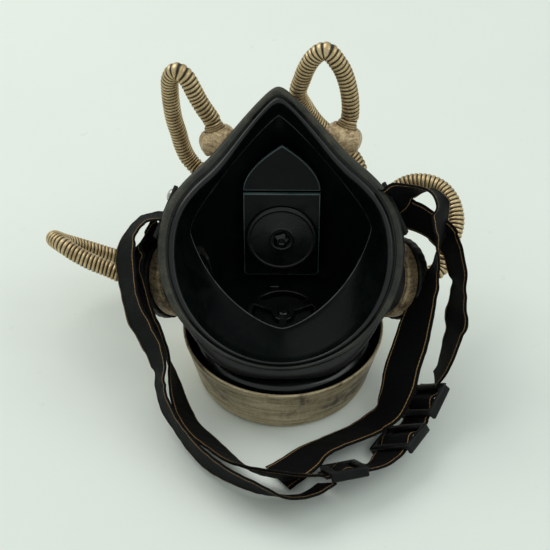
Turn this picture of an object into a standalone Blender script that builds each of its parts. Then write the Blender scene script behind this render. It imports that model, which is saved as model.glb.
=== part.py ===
"""Half-face respirator-style masquerade mask, lying on its chin canister.

World frame: origin at the centre of the chin canister's flat face, +Z up, +X to the wearer's
right-hand strap, +Y away from the wearer's side.  All sizes below are in millimetres and MM
turns them into metres.
"""

import math

import bmesh
import bpy
import numpy as np
from mathutils import Matrix, Vector

MM = 0.001
GAP = 0.3

# Opening of the mask, in its own tilted plane: x across, v towards the nose
OPENING_TILT = math.radians(44.0)
ACROSS = Vector((1.0, 0.0, 0.0))
NOSEWARD = Vector((0.0, math.sin(OPENING_TILT), math.cos(OPENING_TILT)))
INWARD = Vector((0.0, math.cos(OPENING_TILT), -math.sin(OPENING_TILT)))
PLANE_ORIGIN = Vector((0.0, 0.0, 30.0))
RIM_RADIUS = 57.3
RIM_CENTRE_V = 33.0
RIM_DEPTH = -40.0
RIM_SADDLE = 3.0
NOSE_ANGLE = math.radians(45.0)
NOSE_SOFTNESS = 0.044
FLANK_PINCH = 2.6
FLANK_END = math.radians(76.0)
CHIN_FLAT = 1.6
ROLL = math.radians(1.3)
ROLL_SHIFT = -0.4
RIM_STATIONS = 44

# Inner lip of the soft rim, in the same tilted plane
LIP_HALF_X = 43.5
LIP_CENTRE_V = 44.0
LIP_NOSE_V = 98.0
LIP_CHIN_V = -3.0
LIP_POWER_NOSE = 1.2
LIP_POWER_CHIN = 2.0
LIP_DEPTH = -23.2
LIP_RISE_NOSE = 8.5
LIP_RISE_CHIN = 4.0
SEAL_THICK = 1.4
SEAL_SAG = 0.4

# Shell between the rim and the flat floor over the canister
FLOOR_Z = 32.0
FLOOR_HALF_X = 34.0
FLOOR_HALF_Y = 37.5
FLOOR_CENTRE_Y = -3.0
FLOOR_POWER = 3.2
SHELL_WALL = 3.0
SHELL_RINGS = 7
BULGE_FRONT = 7.0
BULGE_CHIN = 3.0

# Chin canister
DRUM_RIM_RADIUS = 50.0
DRUM_FACE_RADIUS = 46.0
DRUM_HEIGHT = 30.0
DRUM_WALL = 1.6
DRUM_FLOOR = 1.8
FACE_PLATE_RADIUS = 36.0
COVER_RADIUS = 45.0
COVER_HOLE_RADIUS = 16.2
NECK_RADIUS = 15.5
NECK_BORE = 12.0

# Side canisters
SIDE_CENTRE = Vector((56.0, 8.2, 52.5))
SIDE_AXIS = Vector((0.848, 0.381, -0.368)).normalized()
SIDE_RADIUS = 20.0
SIDE_BODY_FROM = -4.0
SIDE_FITTING_TO = 11.6
SIDE_BODY_TO = 4.4
SIDE_CAP_TO = 8.6

# Front hub with four hose ports
HUB_CENTRE = Vector((0.0, 53.5, 61.0))
HUB_AXIS = Vector((0.0, 0.985, -0.174)).normalized()
HUB_RADIUS = 22.0
HUB_DEPTH = 12.0
PORT_ANGLES = (20.0, -40.0)
PORT_RADIUS = 6.0
PORT_LENGTH = 8.0

# Nose nuts
NUT_CENTRE = Vector((30.2, 47.0, 108.8))
NOSE_HOLE = Vector((28.2, 36.0, 98.8))
NOSE_SHIFT = -1.8
NOSE_RISE = 1.0
NUT_AXIS = Vector((0.30, 0.28, 0.91)).normalized()
NUT_RADIUS = 9.8
NUT_HEIGHT = 10.5
NUT_BORE = 5.1
FERRULE_TOP = 7.4

# Valve panel inside the front wall
PANEL_FOOT = Vector((-1.0, 25.5, 39.8))
PANEL_TOP = Vector((-1.0, 33.4, 85.4))
PANEL_HALF_WIDTH = 18.9
PANEL_THICK = 2.4
ARCH_HEIGHT = 23.0
ARCH_LEAN = math.radians(16.0)
VALVE_HEIGHT = 21.5
VALVE_RADIUS = 18.0

# Strap plates beside the rim
PLATE_ANGLE = math.radians(70.0)
PLATE_DEPTH = 6.5
PLATE_OUT = 2.2

# Hoses and webbing
HOSE_RADIUS = 4.2
STRAP_WIDTH = 20.0
STRAP_THICK = 1.2

# Hose routes from fitting to port, right-hand coordinates in millimetres
HOSE_UPPER_RIGHT = [
    (31.5, 49.2, 124.5), (31, 49, 130), (30, 49, 135.5), (28.5, 49, 141), (26.5, 49, 146),
    (24, 49, 150), (21.5, 49.5, 153.2), (19.2, 50, 154.6), (16, 51, 153.2), (12.5, 52.5, 148.5),
    (10, 54, 142.5), (8.5, 55.5, 137), (6.5, 58, 127), (10, 63, 116), (16, 65.5, 105), (25, 66.5, 95),
    (34, 65, 86), (38.5, 61, 78),
]
HOSE_UPPER_LEFT = [
    (-39, 49.5, 124.5), (-41.5, 50, 129.5), (-43.5, 50, 134.5), (-45.5, 50.5, 138.8),
    (-47.7, 51, 141.4), (-50, 52, 142.2), (-52.5, 53.5, 140.3), (-54.5, 55.5, 135), (-55, 57.5, 128),
    (-55, 59.5, 119), (-54.5, 61.5, 109.5), (-53, 63.5, 100), (-51.5, 65, 90.5), (-49, 65.5, 83),
    (-44, 63, 78),
]
HOSE_LOWER_RIGHT = [
    (77, 18, 49), (80, 22, 53.5), (82.7, 26, 58), (85, 30.5, 62), (86.5, 36, 66), (86, 41.5, 69.5),
    (84, 47, 72.3), (79.5, 53, 74.5), (72.5, 57, 75), (64, 60, 72), (56, 61, 65), (48, 60, 56.5),
    (41, 58, 49),
]
HOSE_LOWER_LEFT = [
    (-79, 17.5, 44.6), (-88, 20, 47), (-97, 22, 50), (-105, 25, 53), (-111.5, 29, 55),
    (-116.5, 35, 53.5), (-117.5, 41, 49), (-115, 46, 43), (-109, 50, 37), (-101, 52, 32),
    (-92, 53, 27.5), (-81, 54, 23), (-68, 55.5, 20), (-56, 57, 20.5), (-46, 57.5, 26), (-39, 57.5, 33.5),
]

# Webbing routes: x, y, z of the middle line, and its lean from upright in degrees
STRAP_RIGHT_LOWER = [
    (59.8, 13.5, 99, 0), (60, 12.6, 102.8, -14), (61.8, 10.3, 106.3, -38), (65, 7.5, 108, -52),
    (69, 5.6, 107, -62), (72, 3.6, 103.8, -66), (73.5, 1.6, 99, -54), (74, -1.2, 92.4, -32),
    (74.3, -5, 86, -8), (73.4, -9.7, 76, 20), (71, -13.2, 69, 45), (68, -17.2, 60.5, 56),
    (64.5, -21.7, 51.5, 63), (61.4, -26.7, 41, 67), (57.8, -32.5, 32.4, 67), (54.5, -38.4, 21, 67),
    (50.5, -43, 12.5, 68), (44.5, -46.5, 7.8, 66), (36.5, -51, 6.4, 62), (25.5, -56.2, 6.3, 60),
    (17.5, -59.8, 5.8, 61), (12, -63.2, 3.5, 74), (0, -73, 1.4, 88), (-10, -79.5, 1.2, 90),
]
STRAP_RIGHT_UPPER = [
    (60, 16, 85.4, -7), (62, 15.2, 85.6, -7), (65, 14, 84.8, -8), (69.5, 12.6, 82.4, -9),
    (74, 10.8, 79.8, -7), (77.8, 8.5, 76.5, -3), (80.3, 4.7, 73.5, 1), (82.2, -0.8, 69.2, 3),
    (83.7, -5.5, 64, 4), (84, -9, 58.5, 16), (83.5, -13, 52, 24), (83, -18, 43.5, 32),
    (80.8, -22.8, 37, 40), (78.4, -26.4, 29.5, 46), (77.2, -27.8, 25.6, 48),
]
STRAP_LINK = [
    (73.3, -29.4, 17.2, 46), (63.7, -46.6, 10, 46), (61.4, -50.1, 9.9, 52), (49.6, -67.5, 9.9, 52),
    (44.6, -73.4, 10, 46), (38.8, -75.8, 10.6, 47), (18.4, -80.8, 10.6, 47),
]
STRAP_LEFT_OUTER = [
    (-63, 9, 89, 60), (-64.6, 8.6, 89, 60), (-66.8, 7.6, 88.2, 58), (-70.3, 5.2, 85.4, 54),
    (-73.3, 1.4, 81, 45), (-74.4, -5, 75.3, 34), (-72.9, -13, 63.7, 19), (-69.8, -20, 54.3, 11),
    (-65.4, -25, 46.8, 4), (-61.2, -30, 40.3, 10), (-58.6, -36, 34.2, 15), (-57.9, -41.5, 27.7, 13),
    (-55.9, -48, 22.7, 2), (-50.5, -56, 18, -6), (-43.5, -65, 14.6, -6), (-35, -75, 14, -9),
    (-23, -84, 13.6, -17), (-10, -90.6, 13.4, -24), (2, -92.6, 13, -32), (10, -90.4, 12, -38),
    (15.6, -86.6, 11, -42),
]
STRAP_LEFT_INNER = [
    (-70.9, 2.6, 77.2, 42), (-71.3, 0.4, 75.6, 40),
    (-71.3, -3, 72.6, 34), (-70.6, -8.6, 66.6, 24), (-67.8, -14.8, 58.4, 15), (-64, -21, 50, 6),
    (-59.6, -25.8, 42.6, -6), (-55.2, -30.5, 33.8, -18), (-52.4, -35.5, 25, -27),
    (-49.4, -42, 17.5, -34), (-44.8, -50.5, 13, -41), (-38, -58.5, 11.5, -48), (-30, -67, 11.8, -45),
    (-22, -75.5, 13, -40), (-13, -80.6, 14, -32), (0, -83.4, 14, -30), (9, -83.2, 13.2, -36),
    (15.6, -81.6, 12, -42),
]

# Sliders: middle, direction of the webbing and lean, all three on straight runs of the webbing
SLIDER_STATIONS = {
    "slider_upper": (STRAP_LINK[0], STRAP_LINK[1]),
    "slider_middle": (STRAP_LINK[2], STRAP_LINK[3]),
    "slider_lower": (STRAP_LINK[5], STRAP_LINK[6]),
}
SLIDER_LENGTH = 18.0
SLIDER_RAIL = 2.2
SLIDER_BAR = 2.6


def clear_scene():
    for obj in list(bpy.data.objects):
        bpy.data.objects.remove(obj, do_unlink=True)


def make_collection(name, parent):
    collection = bpy.data.collections.new(name)
    parent.children.link(collection)
    return collection


def material(name, colour, roughness, metallic):
    made = bpy.data.materials.new(name)
    made.use_nodes = True
    shader = made.node_tree.nodes["Principled BSDF"]
    shader.inputs["Base Color"].default_value = (*colour, 1.0)
    shader.inputs["Roughness"].default_value = roughness
    shader.inputs["Metallic"].default_value = metallic
    return made


clear_scene()
MASK = make_collection("plague_mask", bpy.context.scene.collection)
CUTTERS = make_collection("cutters", bpy.context.scene.collection)
CUTTERS.hide_render = True

BRONZE = material("antique_bronze", (0.36, 0.24, 0.13), 0.42, 0.85)
BRASS = material("aged_brass", (0.48, 0.34, 0.16), 0.38, 0.9)
BLACK_GLOSS = material("gloss_black_plastic", (0.012, 0.014, 0.014), 0.22, 0.0)
BLACK_SHELL = material("shell_bronze_paint", (0.22, 0.15, 0.09), 0.5, 0.6)
RUBBER = material("seal_rubber", (0.03, 0.032, 0.03), 0.38, 0.0)
MATT_BLACK = material("matt_black_plastic", (0.02, 0.02, 0.021), 0.5, 0.0)
STEEL = material("plated_steel", (0.55, 0.53, 0.48), 0.3, 1.0)
WEBBING = material("black_elastic", (0.02, 0.021, 0.02), 0.85, 0.0)
FELT = material("filter_felt", (0.5, 0.48, 0.42), 0.95, 0.0)


def mirrored(point, side):
    return Vector((side * point[0], point[1], point[2]))


def nose_point(point, side):
    """Mirrored point that follows the roll of the opening near the nose."""
    return mirrored(point, side) + Vector((NOSE_SHIFT, 0.0, NOSE_RISE * side))


def frame_to(axis, up=Vector((0.0, 0.0, 1.0))):
    """Rotation whose Z runs along axis and whose Y leans towards up."""
    z = Vector(axis).normalized()
    x = Vector(up).cross(z)
    if x.length < 1e-6:
        x = Vector((1.0, 0.0, 0.0))
    x.normalize()
    y = z.cross(x)
    return Matrix((x, y, z)).transposed().to_4x4()


def place(obj, origin, axis=(0.0, 0.0, 1.0), up=(0.0, 0.0, 1.0)):
    rotation = frame_to(axis, up) if Vector(axis).cross(Vector((0, 0, 1))).length > 1e-6 else Matrix()
    obj.matrix_world = Matrix.Translation(Vector(origin) * MM) @ rotation
    return obj


def finish(obj, look, smooth_angle=35.0):
    obj.data.materials.append(look)
    if obj.type == "MESH":
        obj.data.shade_smooth()
        obj.data.set_sharp_from_angle(angle=math.radians(smooth_angle))
    return obj


def mesh_object(name, points, faces, look, collection=None):
    mesh = bpy.data.meshes.new(name)
    mesh.from_pydata([Vector(point) * MM for point in points], [], faces)
    mesh.validate()
    work = bmesh.new()
    work.from_mesh(mesh)
    bmesh.ops.recalc_face_normals(work, faces=work.faces)
    work.to_mesh(mesh)
    work.free()
    obj = bpy.data.objects.new(name, mesh)
    (collection or MASK).objects.link(obj)
    return finish(obj, look)


def turned(name, profile, look, closed=True, steps=24, collection=None):
    """Screw of a profile of (radius, height), listed down its outer side."""
    mesh = bpy.data.meshes.new(name)
    edges = [(i, i + 1) for i in range(len(profile) - 1)]
    if closed:
        edges.append((len(profile) - 1, 0))
    mesh.from_pydata([(radius * MM, 0.0, height * MM) for radius, height in profile], edges, [])
    obj = bpy.data.objects.new(name, mesh)
    (collection or MASK).objects.link(obj)
    screw = obj.modifiers.new("turn", "SCREW")
    screw.steps = steps
    screw.render_steps = steps
    screw.use_merge_vertices = True
    screw.merge_threshold = 0.00001
    obj.data.materials.append(look)
    return obj


def disc_profile(radius, low, high, edge=0.5):
    return [(0, high), (radius - edge, high), (radius, high - edge), (radius, low + edge),
            (radius - edge, low), (0, low)]


def ring_profile(outer, inner, low, high, edge=0.5):
    return [(inner, high), (outer - edge, high), (outer, high - edge), (outer, low + edge),
            (outer - edge, low), (inner, low)]


def circle_points(radius, count, centre=(0.0, 0.0), start=0.0, end=2 * math.pi, whole=True):
    steps = count if whole else count - 1
    return [(centre[0] + radius * math.cos(start + (end - start) * i / steps),
             centre[1] + radius * math.sin(start + (end - start) * i / steps)) for i in range(count)]


def flat_plate(name, outlines, thickness, look):
    """Flat piece with holes, centred on its local XY plane."""
    curve = bpy.data.curves.new(name, "CURVE")
    curve.dimensions = "2D"
    curve.fill_mode = "BOTH"
    curve.extrude = thickness * MM / 2
    for outline in outlines:
        spline = curve.splines.new("POLY")
        spline.points.add(len(outline) - 1)
        for point, (x, y) in zip(spline.points, outline):
            point.co = (x * MM, y * MM, 0.0, 1.0)
        spline.use_cyclic_u = True
    obj = bpy.data.objects.new(name, curve)
    MASK.objects.link(obj)
    curve.materials.append(look)
    return obj


def spline_points(route, per_span, straight=()):
    """Smooth curve through a route; the spans listed in straight stay straight lines."""
    rows = np.array(route, float)
    last = len(rows) - 1
    tangents = np.empty_like(rows)
    for i in range(last + 1):
        tangents[i] = (rows[min(i + 1, last)] - rows[max(i - 1, 0)]) / (2.0 if 0 < i < last else 1.0)
    for i in straight:
        chord = rows[i + 1] - rows[i]
        for end, other in ((i, i - 1), (i + 1, i + 2)):
            length = np.linalg.norm(chord[:3])
            near = np.linalg.norm(rows[end][:3] - rows[min(max(other, 0), last)][:3])
            tangents[end] = chord * min(1.0, (near or length) / length)
    found = []
    for i in range(last):
        chord = rows[i + 1] - rows[i]
        first, second = tangents[i], tangents[i + 1]
        if i in straight:
            first = second = chord
        for step in range(per_span):
            t = step / per_span
            found.append((2 * t**3 - 3 * t**2 + 1) * rows[i] + (t**3 - 2 * t**2 + t) * first
                         + (3 * t**2 - 2 * t**3) * rows[i + 1] + (t**3 - t**2) * second)
    found.append(rows[-1])
    return np.array(found)


def hose(name, route, look):
    curve = bpy.data.curves.new(name, "CURVE")
    curve.dimensions = "3D"
    curve.bevel_depth = HOSE_RADIUS * MM
    curve.bevel_resolution = 2
    curve.use_fill_caps = True
    points = spline_points(route, 2, straight=(0, len(route) - 2))
    spline = curve.splines.new("POLY")
    spline.points.add(len(points) - 1)
    for point, place_at in zip(spline.points, points):
        point.co = (*(place_at[:3] * MM), 1.0)
    obj = bpy.data.objects.new(name, curve)
    MASK.objects.link(obj)
    curve.materials.append(look)
    return obj


def lean_frame(tangent, lean):
    """Width direction of webbing that stands on edge and leans by lean degrees."""
    along = Vector(tangent).normalized()
    side = Vector((0.0, 0.0, 1.0)).cross(along).normalized()
    upright = along.cross(side)
    return upright * math.cos(math.radians(lean)) + side * math.sin(math.radians(lean))


def webbing(name, route, look, straight=()):
    rows = spline_points(route, 2, straight)
    points = []
    last = len(rows) - 1
    for i, row in enumerate(rows):
        tangent = Vector(rows[min(i + 1, last)][:3] - rows[max(i - 1, 0)][:3])
        width = lean_frame(tangent, row[3])
        normal = tangent.normalized().cross(width)
        centre = Vector(row[:3])
        for across, through in ((-1, -1), (1, -1), (1, 1), (-1, 1)):
            points.append(centre + width * across * STRAP_WIDTH / 2 + normal * through * STRAP_THICK / 2)
    faces = [(0, 1, 2, 3), tuple(4 * last + k for k in range(4))]
    for i in range(last):
        for k in range(4):
            following = (k + 1) % 4
            faces.append((4 * i + k, 4 * i + following, 4 * i + 4 + following, 4 * i + 4 + k))
    return mesh_object(name, points, faces, look)


def boolean(obj, cutter, operation="DIFFERENCE"):
    cut = obj.modifiers.new(cutter.name, "BOOLEAN")
    cut.operation = operation
    cut.object = cutter
    cutter.hide_render = True
    cutter.display_type = "WIRE"
    return obj


def drill(name, origin, axis, radius, low, high):
    cutter = turned(name, [(0, high), (radius, high), (radius, low), (0, low)], MATT_BLACK,
                    closed=False, steps=32, collection=CUTTERS)
    return place(cutter, origin, axis)


# --- Mask shell and face seal ------------------------------------------------------------------

def rim_angles():
    return [phi - 0.45 * math.sin(phi) for phi in
            (2 * math.pi * i / RIM_STATIONS for i in range(RIM_STATIONS))]


def opening_point(x, v, depth):
    """Point of the tilted plane of the opening, which is rolled a little towards the left."""
    across = x * math.cos(ROLL) - v * math.sin(ROLL) + ROLL_SHIFT
    noseward = v * math.cos(ROLL) + x * math.sin(ROLL)
    return PLANE_ORIGIN + ACROSS * across + NOSEWARD * noseward + INWARD * depth


def rim_point(angle, inset=0.0, deeper=0.0):
    """Point of the teardrop rim; angle 0 is the nose, inset moves it towards the middle."""
    turn = math.atan2(math.sin(angle), math.cos(angle))
    from_nose = math.sqrt(turn * turn + NOSE_SOFTNESS**2)
    spread = max(0.0, NOSE_ANGLE - from_nose)
    pinch = FLANK_PINCH * math.sin(math.pi * min(abs(turn), FLANK_END) / FLANK_END)**2
    flat = CHIN_FLAT * max(0.0, -math.cos(turn))**2
    radius = RIM_RADIUS / math.cos(spread) - pinch - flat - inset
    x = radius * math.sin(turn)
    v = RIM_CENTRE_V + radius * math.cos(turn)
    depth = RIM_DEPTH + RIM_SADDLE * math.cos(2 * turn) + deeper
    return opening_point(x, v, depth)


def floor_point(angle, z, inset=0.0):
    s, c = math.sin(angle), math.cos(angle)
    half_x, half_y = FLOOR_HALF_X - inset, FLOOR_HALF_Y - inset
    radius = (abs(s / half_x)**FLOOR_POWER + abs(c / half_y)**FLOOR_POWER)**(-1 / FLOOR_POWER)
    return Vector((radius * s, FLOOR_CENTRE_Y + radius * c, z))


def shell_ring(t, offset):
    """Ring of the shell from the rim (0) to the floor (1), offset inwards by the wall."""
    ring = []
    for angle in rim_angles():
        start = rim_point(angle, inset=3.2 + offset, deeper=3.3)
        end = floor_point(angle, FLOOR_Z + offset, inset=offset)
        bulge = BULGE_CHIN + (BULGE_FRONT - BULGE_CHIN) * (0.5 + 0.5 * math.cos(angle))
        outward = Vector((math.sin(angle), math.cos(angle), 0.0))
        ring.append(start.lerp(end, t) + outward * bulge * math.sin(math.pi * t)**0.8)
    return ring


def ring_faces(count, base_a, base_b):
    return [(base_a + i, base_a + (i + 1) % count, base_b + (i + 1) % count, base_b + i)
            for i in range(count)]


def mask_shell():
    count = RIM_STATIONS
    steps = [(i / (SHELL_RINGS - 1))**0.9 for i in range(SHELL_RINGS)]
    rings = [shell_ring(t, 0.0) for t in steps] + [shell_ring(t, SHELL_WALL) for t in reversed(steps)]
    points = [point for ring in rings for point in ring]
    faces = []
    for k in range(len(rings)):
        if k == SHELL_RINGS - 1:
            continue
        faces += ring_faces(count, k * count, ((k + 1) % len(rings)) * count)
    for k in (SHELL_RINGS - 1, SHELL_RINGS):
        centre = len(points)
        points.append(sum(rings[k], Vector()) / count)
        faces += [(k * count + i, k * count + (i + 1) % count, centre) for i in range(count)]
    shell = mesh_object("mask_shell", points, faces, BLACK_SHELL)
    boolean(shell, drill("floor_hole", (0, 0, 0), (0, 0, 1), NECK_RADIUS + GAP, 20, 50))
    boolean(shell, drill("front_hole", HUB_CENTRE, HUB_AXIS, 13.4, -25, 20))
    for side, label in ((1, "right"), (-1, "left")):
        centre, axis = mirrored(SIDE_CENTRE, side), mirrored(SIDE_AXIS, side)
        boolean(shell, drill("side_hole_" + label, centre, axis, 11.4, -22, 0))
        boolean(shell, drill("nose_hole_" + label, nose_point(NOSE_HOLE, side), (0, 1, 0), 6.4, -14, 12))
    return shell


def lip_point(angle):
    """Inner lip of the soft rim: straight towards the nose, round towards the chin."""
    s, c = abs(math.sin(angle)), math.cos(angle)
    reach = LIP_NOSE_V - LIP_CENTRE_V if c > 0 else LIP_CENTRE_V - LIP_CHIN_V
    power = LIP_POWER_NOSE + (LIP_POWER_CHIN - LIP_POWER_NOSE) * (0.5 - 0.5 * math.tanh(3.0 * c))
    radius = ((s / LIP_HALF_X)**power + abs(c / reach)**power)**(-1 / power)
    depth = LIP_DEPTH - LIP_RISE_NOSE * max(0.0, c)**0.7 - LIP_RISE_CHIN * max(0.0, -c)
    v = LIP_CENTRE_V + radius * c
    return opening_point(radius * math.sin(angle), v, depth)


def face_seal():
    """Soft rim: two beads, then a concave flange down to the lip, swept round the teardrop."""
    beads = [(2.4, 0.9), (0.4, 0.0), (0.4, -2.0), (2.6, -3.2), (4.6, -2.2), (7.0, -3.3), (8.8, -1.4)]
    under = (8.6, 0.0)
    points, faces = [], []
    for angle in rim_angles():
        ring = [rim_point(angle, inset=inset, deeper=depth) for inset, depth in beads]
        start, lip = ring[-1], lip_point(angle)
        back = rim_point(angle, inset=under[0], deeper=under[1])
        for t in (0.35, 0.7):
            ring.append(start.lerp(lip, t) + INWARD * SEAL_SAG * math.sin(math.pi * t))
        ring += [lip, lip + INWARD * SEAL_THICK]
        for t in (0.7, 0.35):
            ring.append(back.lerp(lip + INWARD * SEAL_THICK, t) + INWARD * SEAL_SAG * math.sin(math.pi * t))
        ring.append(back)
        points += ring
    count = len(points) // RIM_STATIONS
    for i in range(RIM_STATIONS):
        following = (i + 1) % RIM_STATIONS
        faces += [(i * count + k, i * count + (k + 1) % count,
                   following * count + (k + 1) % count, following * count + k) for k in range(count)]
    return mesh_object("face_seal", points, faces, RUBBER)


# --- Valve panel -------------------------------------------------------------------------------

PANEL_UP = (PANEL_TOP - PANEL_FOOT).normalized()
PANEL_NORMAL = ACROSS.cross(PANEL_UP).normalized()
PANEL_HEIGHT = (PANEL_TOP - PANEL_FOOT).length


def panel_place(obj, origin, up, normal):
    rotation = Matrix((ACROSS, up, normal)).transposed().to_4x4()
    obj.matrix_world = Matrix.Translation(origin * MM) @ rotation
    return obj


def valve_panels():
    w, h = PANEL_HALF_WIDTH, PANEL_HEIGHT
    vents = [circle_points(4.0, 16, (9.5 * math.cos(a), VALVE_HEIGHT + 9.5 * math.sin(a)))
             for a in (math.radians(60 * k) for k in range(6))]
    stud = [circle_points(2.3, 16, (0.0, VALVE_HEIGHT))]
    lower = flat_plate("valve_panel_lower", [[(-w, 0), (w, 0), (w, h), (-w, h)]] + vents + stud,
                       PANEL_THICK, BLACK_GLOSS)
    panel_place(lower, PANEL_FOOT, PANEL_UP, PANEL_NORMAL)
    radius = (w * w + ARCH_HEIGHT**2) / (2 * w)
    half = math.asin(ARCH_HEIGHT / radius)
    right = [(w - radius + radius * math.cos(a), radius * math.sin(a))
             for a in (half * i / 10 for i in range(11))]
    left = [(-x, y) for x, y in reversed(right[:-1])]
    upper = flat_plate("valve_panel_upper", [right + left], PANEL_THICK, BLACK_GLOSS)
    up = Vector((0.0, math.sin(ARCH_LEAN), math.cos(ARCH_LEAN)))
    panel_place(upper, PANEL_TOP + PANEL_UP * 1.4 + Vector((0, 0.4, 0)), up, ACROSS.cross(up))


def inhale_valve():
    normal = -PANEL_NORMAL if PANEL_NORMAL.y > 0 else PANEL_NORMAL
    seat = PANEL_FOOT + PANEL_UP * VALVE_HEIGHT + normal * (PANEL_THICK / 2 + GAP)
    disc = turned("inhale_valve_disc", [(2.3, 1.0), (16.5, 1.0), (VALVE_RADIUS, 0.7),
                                        (VALVE_RADIUS, 0.1), (17.6, 0.0), (2.3, 0.0)], RUBBER)
    place(disc, seat, normal)
    stud = turned("inhale_valve_stud", [(0, 3.6), (2.6, 3.4), (3.8, 2.6), (3.8, 2.2), (2.0, 2.2),
                                        (2.0, -4.6), (0, -4.6)], BLACK_GLOSS, closed=False, steps=20)
    place(stud, seat, normal)
    duct = turned("exhale_duct", ring_profile(13.0, 11.4, -20.6, -6.4), BLACK_GLOSS, steps=24)
    place(duct, HUB_CENTRE, HUB_AXIS)


# --- Chin canister -----------------------------------------------------------------------------

def chin_canister():
    slope = (DRUM_RIM_RADIUS - DRUM_FACE_RADIUS) / DRUM_HEIGHT
    inner_low = DRUM_FACE_RADIUS + slope * DRUM_FLOOR - DRUM_WALL
    inner_high = DRUM_RIM_RADIUS - DRUM_WALL
    turned("chin_canister_cup", [
        (inner_high, DRUM_HEIGHT - 0.4), (inner_high + 0.4, DRUM_HEIGHT), (DRUM_RIM_RADIUS - 0.4, DRUM_HEIGHT),
        (DRUM_RIM_RADIUS, DRUM_HEIGHT - 0.5), (DRUM_FACE_RADIUS + slope * 3, 3.0),
        (DRUM_FACE_RADIUS - 0.6, 0.8), (DRUM_FACE_RADIUS - 2.4, 0.0), (FACE_PLATE_RADIUS + GAP, 0.0),
        (FACE_PLATE_RADIUS + GAP, DRUM_FLOOR), (inner_low, DRUM_FLOOR)], BRONZE, steps=36)
    holes = []
    for k in range(10):
        middle = math.radians(36 * k)
        outer = circle_points(30.0, 5, start=middle - 0.2, end=middle + 0.2, whole=False)
        inner = circle_points(14.0, 4, start=middle + 0.14, end=middle - 0.14, whole=False)
        holes.append(outer + inner)
    plate = flat_plate("chin_canister_face", [circle_points(FACE_PLATE_RADIUS, 40)] + holes, 1.8, BRONZE)
    place(plate, (0, 0, 0.9))
    turned("chin_filter_pad", disc_profile(42.0, 3.0, 17.0, 1.0), FELT, closed=False, steps=24)
    turned("chin_canister_cover", [
        (COVER_HOLE_RADIUS, 29.6), (41.5, 29.6), (44.0, 28.6), (COVER_RADIUS, 26.4), (COVER_RADIUS, 18.0),
        (COVER_RADIUS - 1.8, 18.0), (COVER_RADIUS - 1.8, 25.6), (42.0, 27.0), (40.6, 27.6),
        (COVER_HOLE_RADIUS, 27.6)], MATT_BLACK, steps=36)
    turned("chin_neck", [
        (NECK_BORE, 33.4), (NECK_RADIUS, 33.4), (NECK_RADIUS, 31.7), (24.0, 31.7), (24.0, 30.1),
        (NECK_RADIUS, 30.1), (NECK_RADIUS, 22.0), (NECK_BORE, 22.0)], BLACK_GLOSS)
    turned("chin_valve_flap", disc_profile(14.4, 33.7, 34.5, 0.2), RUBBER, closed=False, steps=20)
    windows = []
    for k in range(3):
        middle = math.radians(90 + 120 * k)
        outer = circle_points(15.4, 9, start=middle - 0.88, end=middle + 0.88, whole=False)
        inner = circle_points(5.6, 5, start=middle + 0.72, end=middle - 0.72, whole=False)
        windows.append(outer + inner)
    grille = flat_plate("chin_port_grille", [circle_points(18.0, 40)] + windows, 1.6, BLACK_GLOSS)
    place(grille, (0, 0, FLOOR_Z + SHELL_WALL + GAP + 0.9))


# --- Side canisters ----------------------------------------------------------------------------

def side_canister(side, label):
    centre, axis = mirrored(SIDE_CENTRE, side), mirrored(SIDE_AXIS, side)
    r, low, high = SIDE_RADIUS, SIDE_BODY_FROM, SIDE_BODY_TO
    body = turned("side_canister_body_" + label, [
        (r - 3.4, high), (r - 1.8, high), (r - 1.0, high - 0.6), (r - 1.0, low + 2.5), (r - 3.5, low),
        (11.3, low), (11.3, low + 1.6), (r - 4.4, low + 1.6), (r - 3.4, low + 3.0)], BRONZE, steps=24)
    place(body, centre, axis)
    cap = turned("side_canister_cap_" + label, [
        (5.3, SIDE_CAP_TO), (r - 3.0, SIDE_CAP_TO - 0.4), (r - 0.6, SIDE_CAP_TO - 1.6), (r, SIDE_CAP_TO - 3.0),
        (r, high + GAP), (5.3, high + GAP)], MATT_BLACK, steps=24)
    place(cap, centre, axis)
    pad = turned("side_filter_pad_" + label, disc_profile(r - 4.0, low + 3.4, high - 0.4, 0.6), FELT,
                 closed=False, steps=20)
    place(pad, centre, axis)
    collar = turned("side_collar_" + label, ring_profile(11.0, 8.6, -14.0, low + 3.0, 0.3), BLACK_GLOSS,
                    steps=24)
    place(collar, centre, axis)
    fitting = turned("side_hose_fitting_" + label, [
        (0, SIDE_FITTING_TO), (5.8, SIDE_FITTING_TO), (6.4, SIDE_FITTING_TO - 0.6),
        (6.4, SIDE_CAP_TO + 0.6), (5.0, SIDE_CAP_TO + 0.6),
        (5.0, high + 0.6), (0, high + 0.6)], BRASS, closed=False, steps=20)
    place(fitting, centre, axis)


# --- Nose fittings, hub and hoses --------------------------------------------------------------

def hexagon_dome(name, look):
    """Six-sided nut with a domed top and a bored centre."""
    low, high = -NUT_HEIGHT / 2, NUT_HEIGHT / 2
    bore = NUT_BORE / math.cos(math.pi / 6)
    profile = [(bore, high), (bore + 0.6, high), (NUT_RADIUS - 0.7, high - 1.6), (NUT_RADIUS, high - 3.6),
               (NUT_RADIUS, low + 0.8), (NUT_RADIUS - 0.8, low), (bore, low)]
    return turned(name, profile, look, steps=6)


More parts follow.
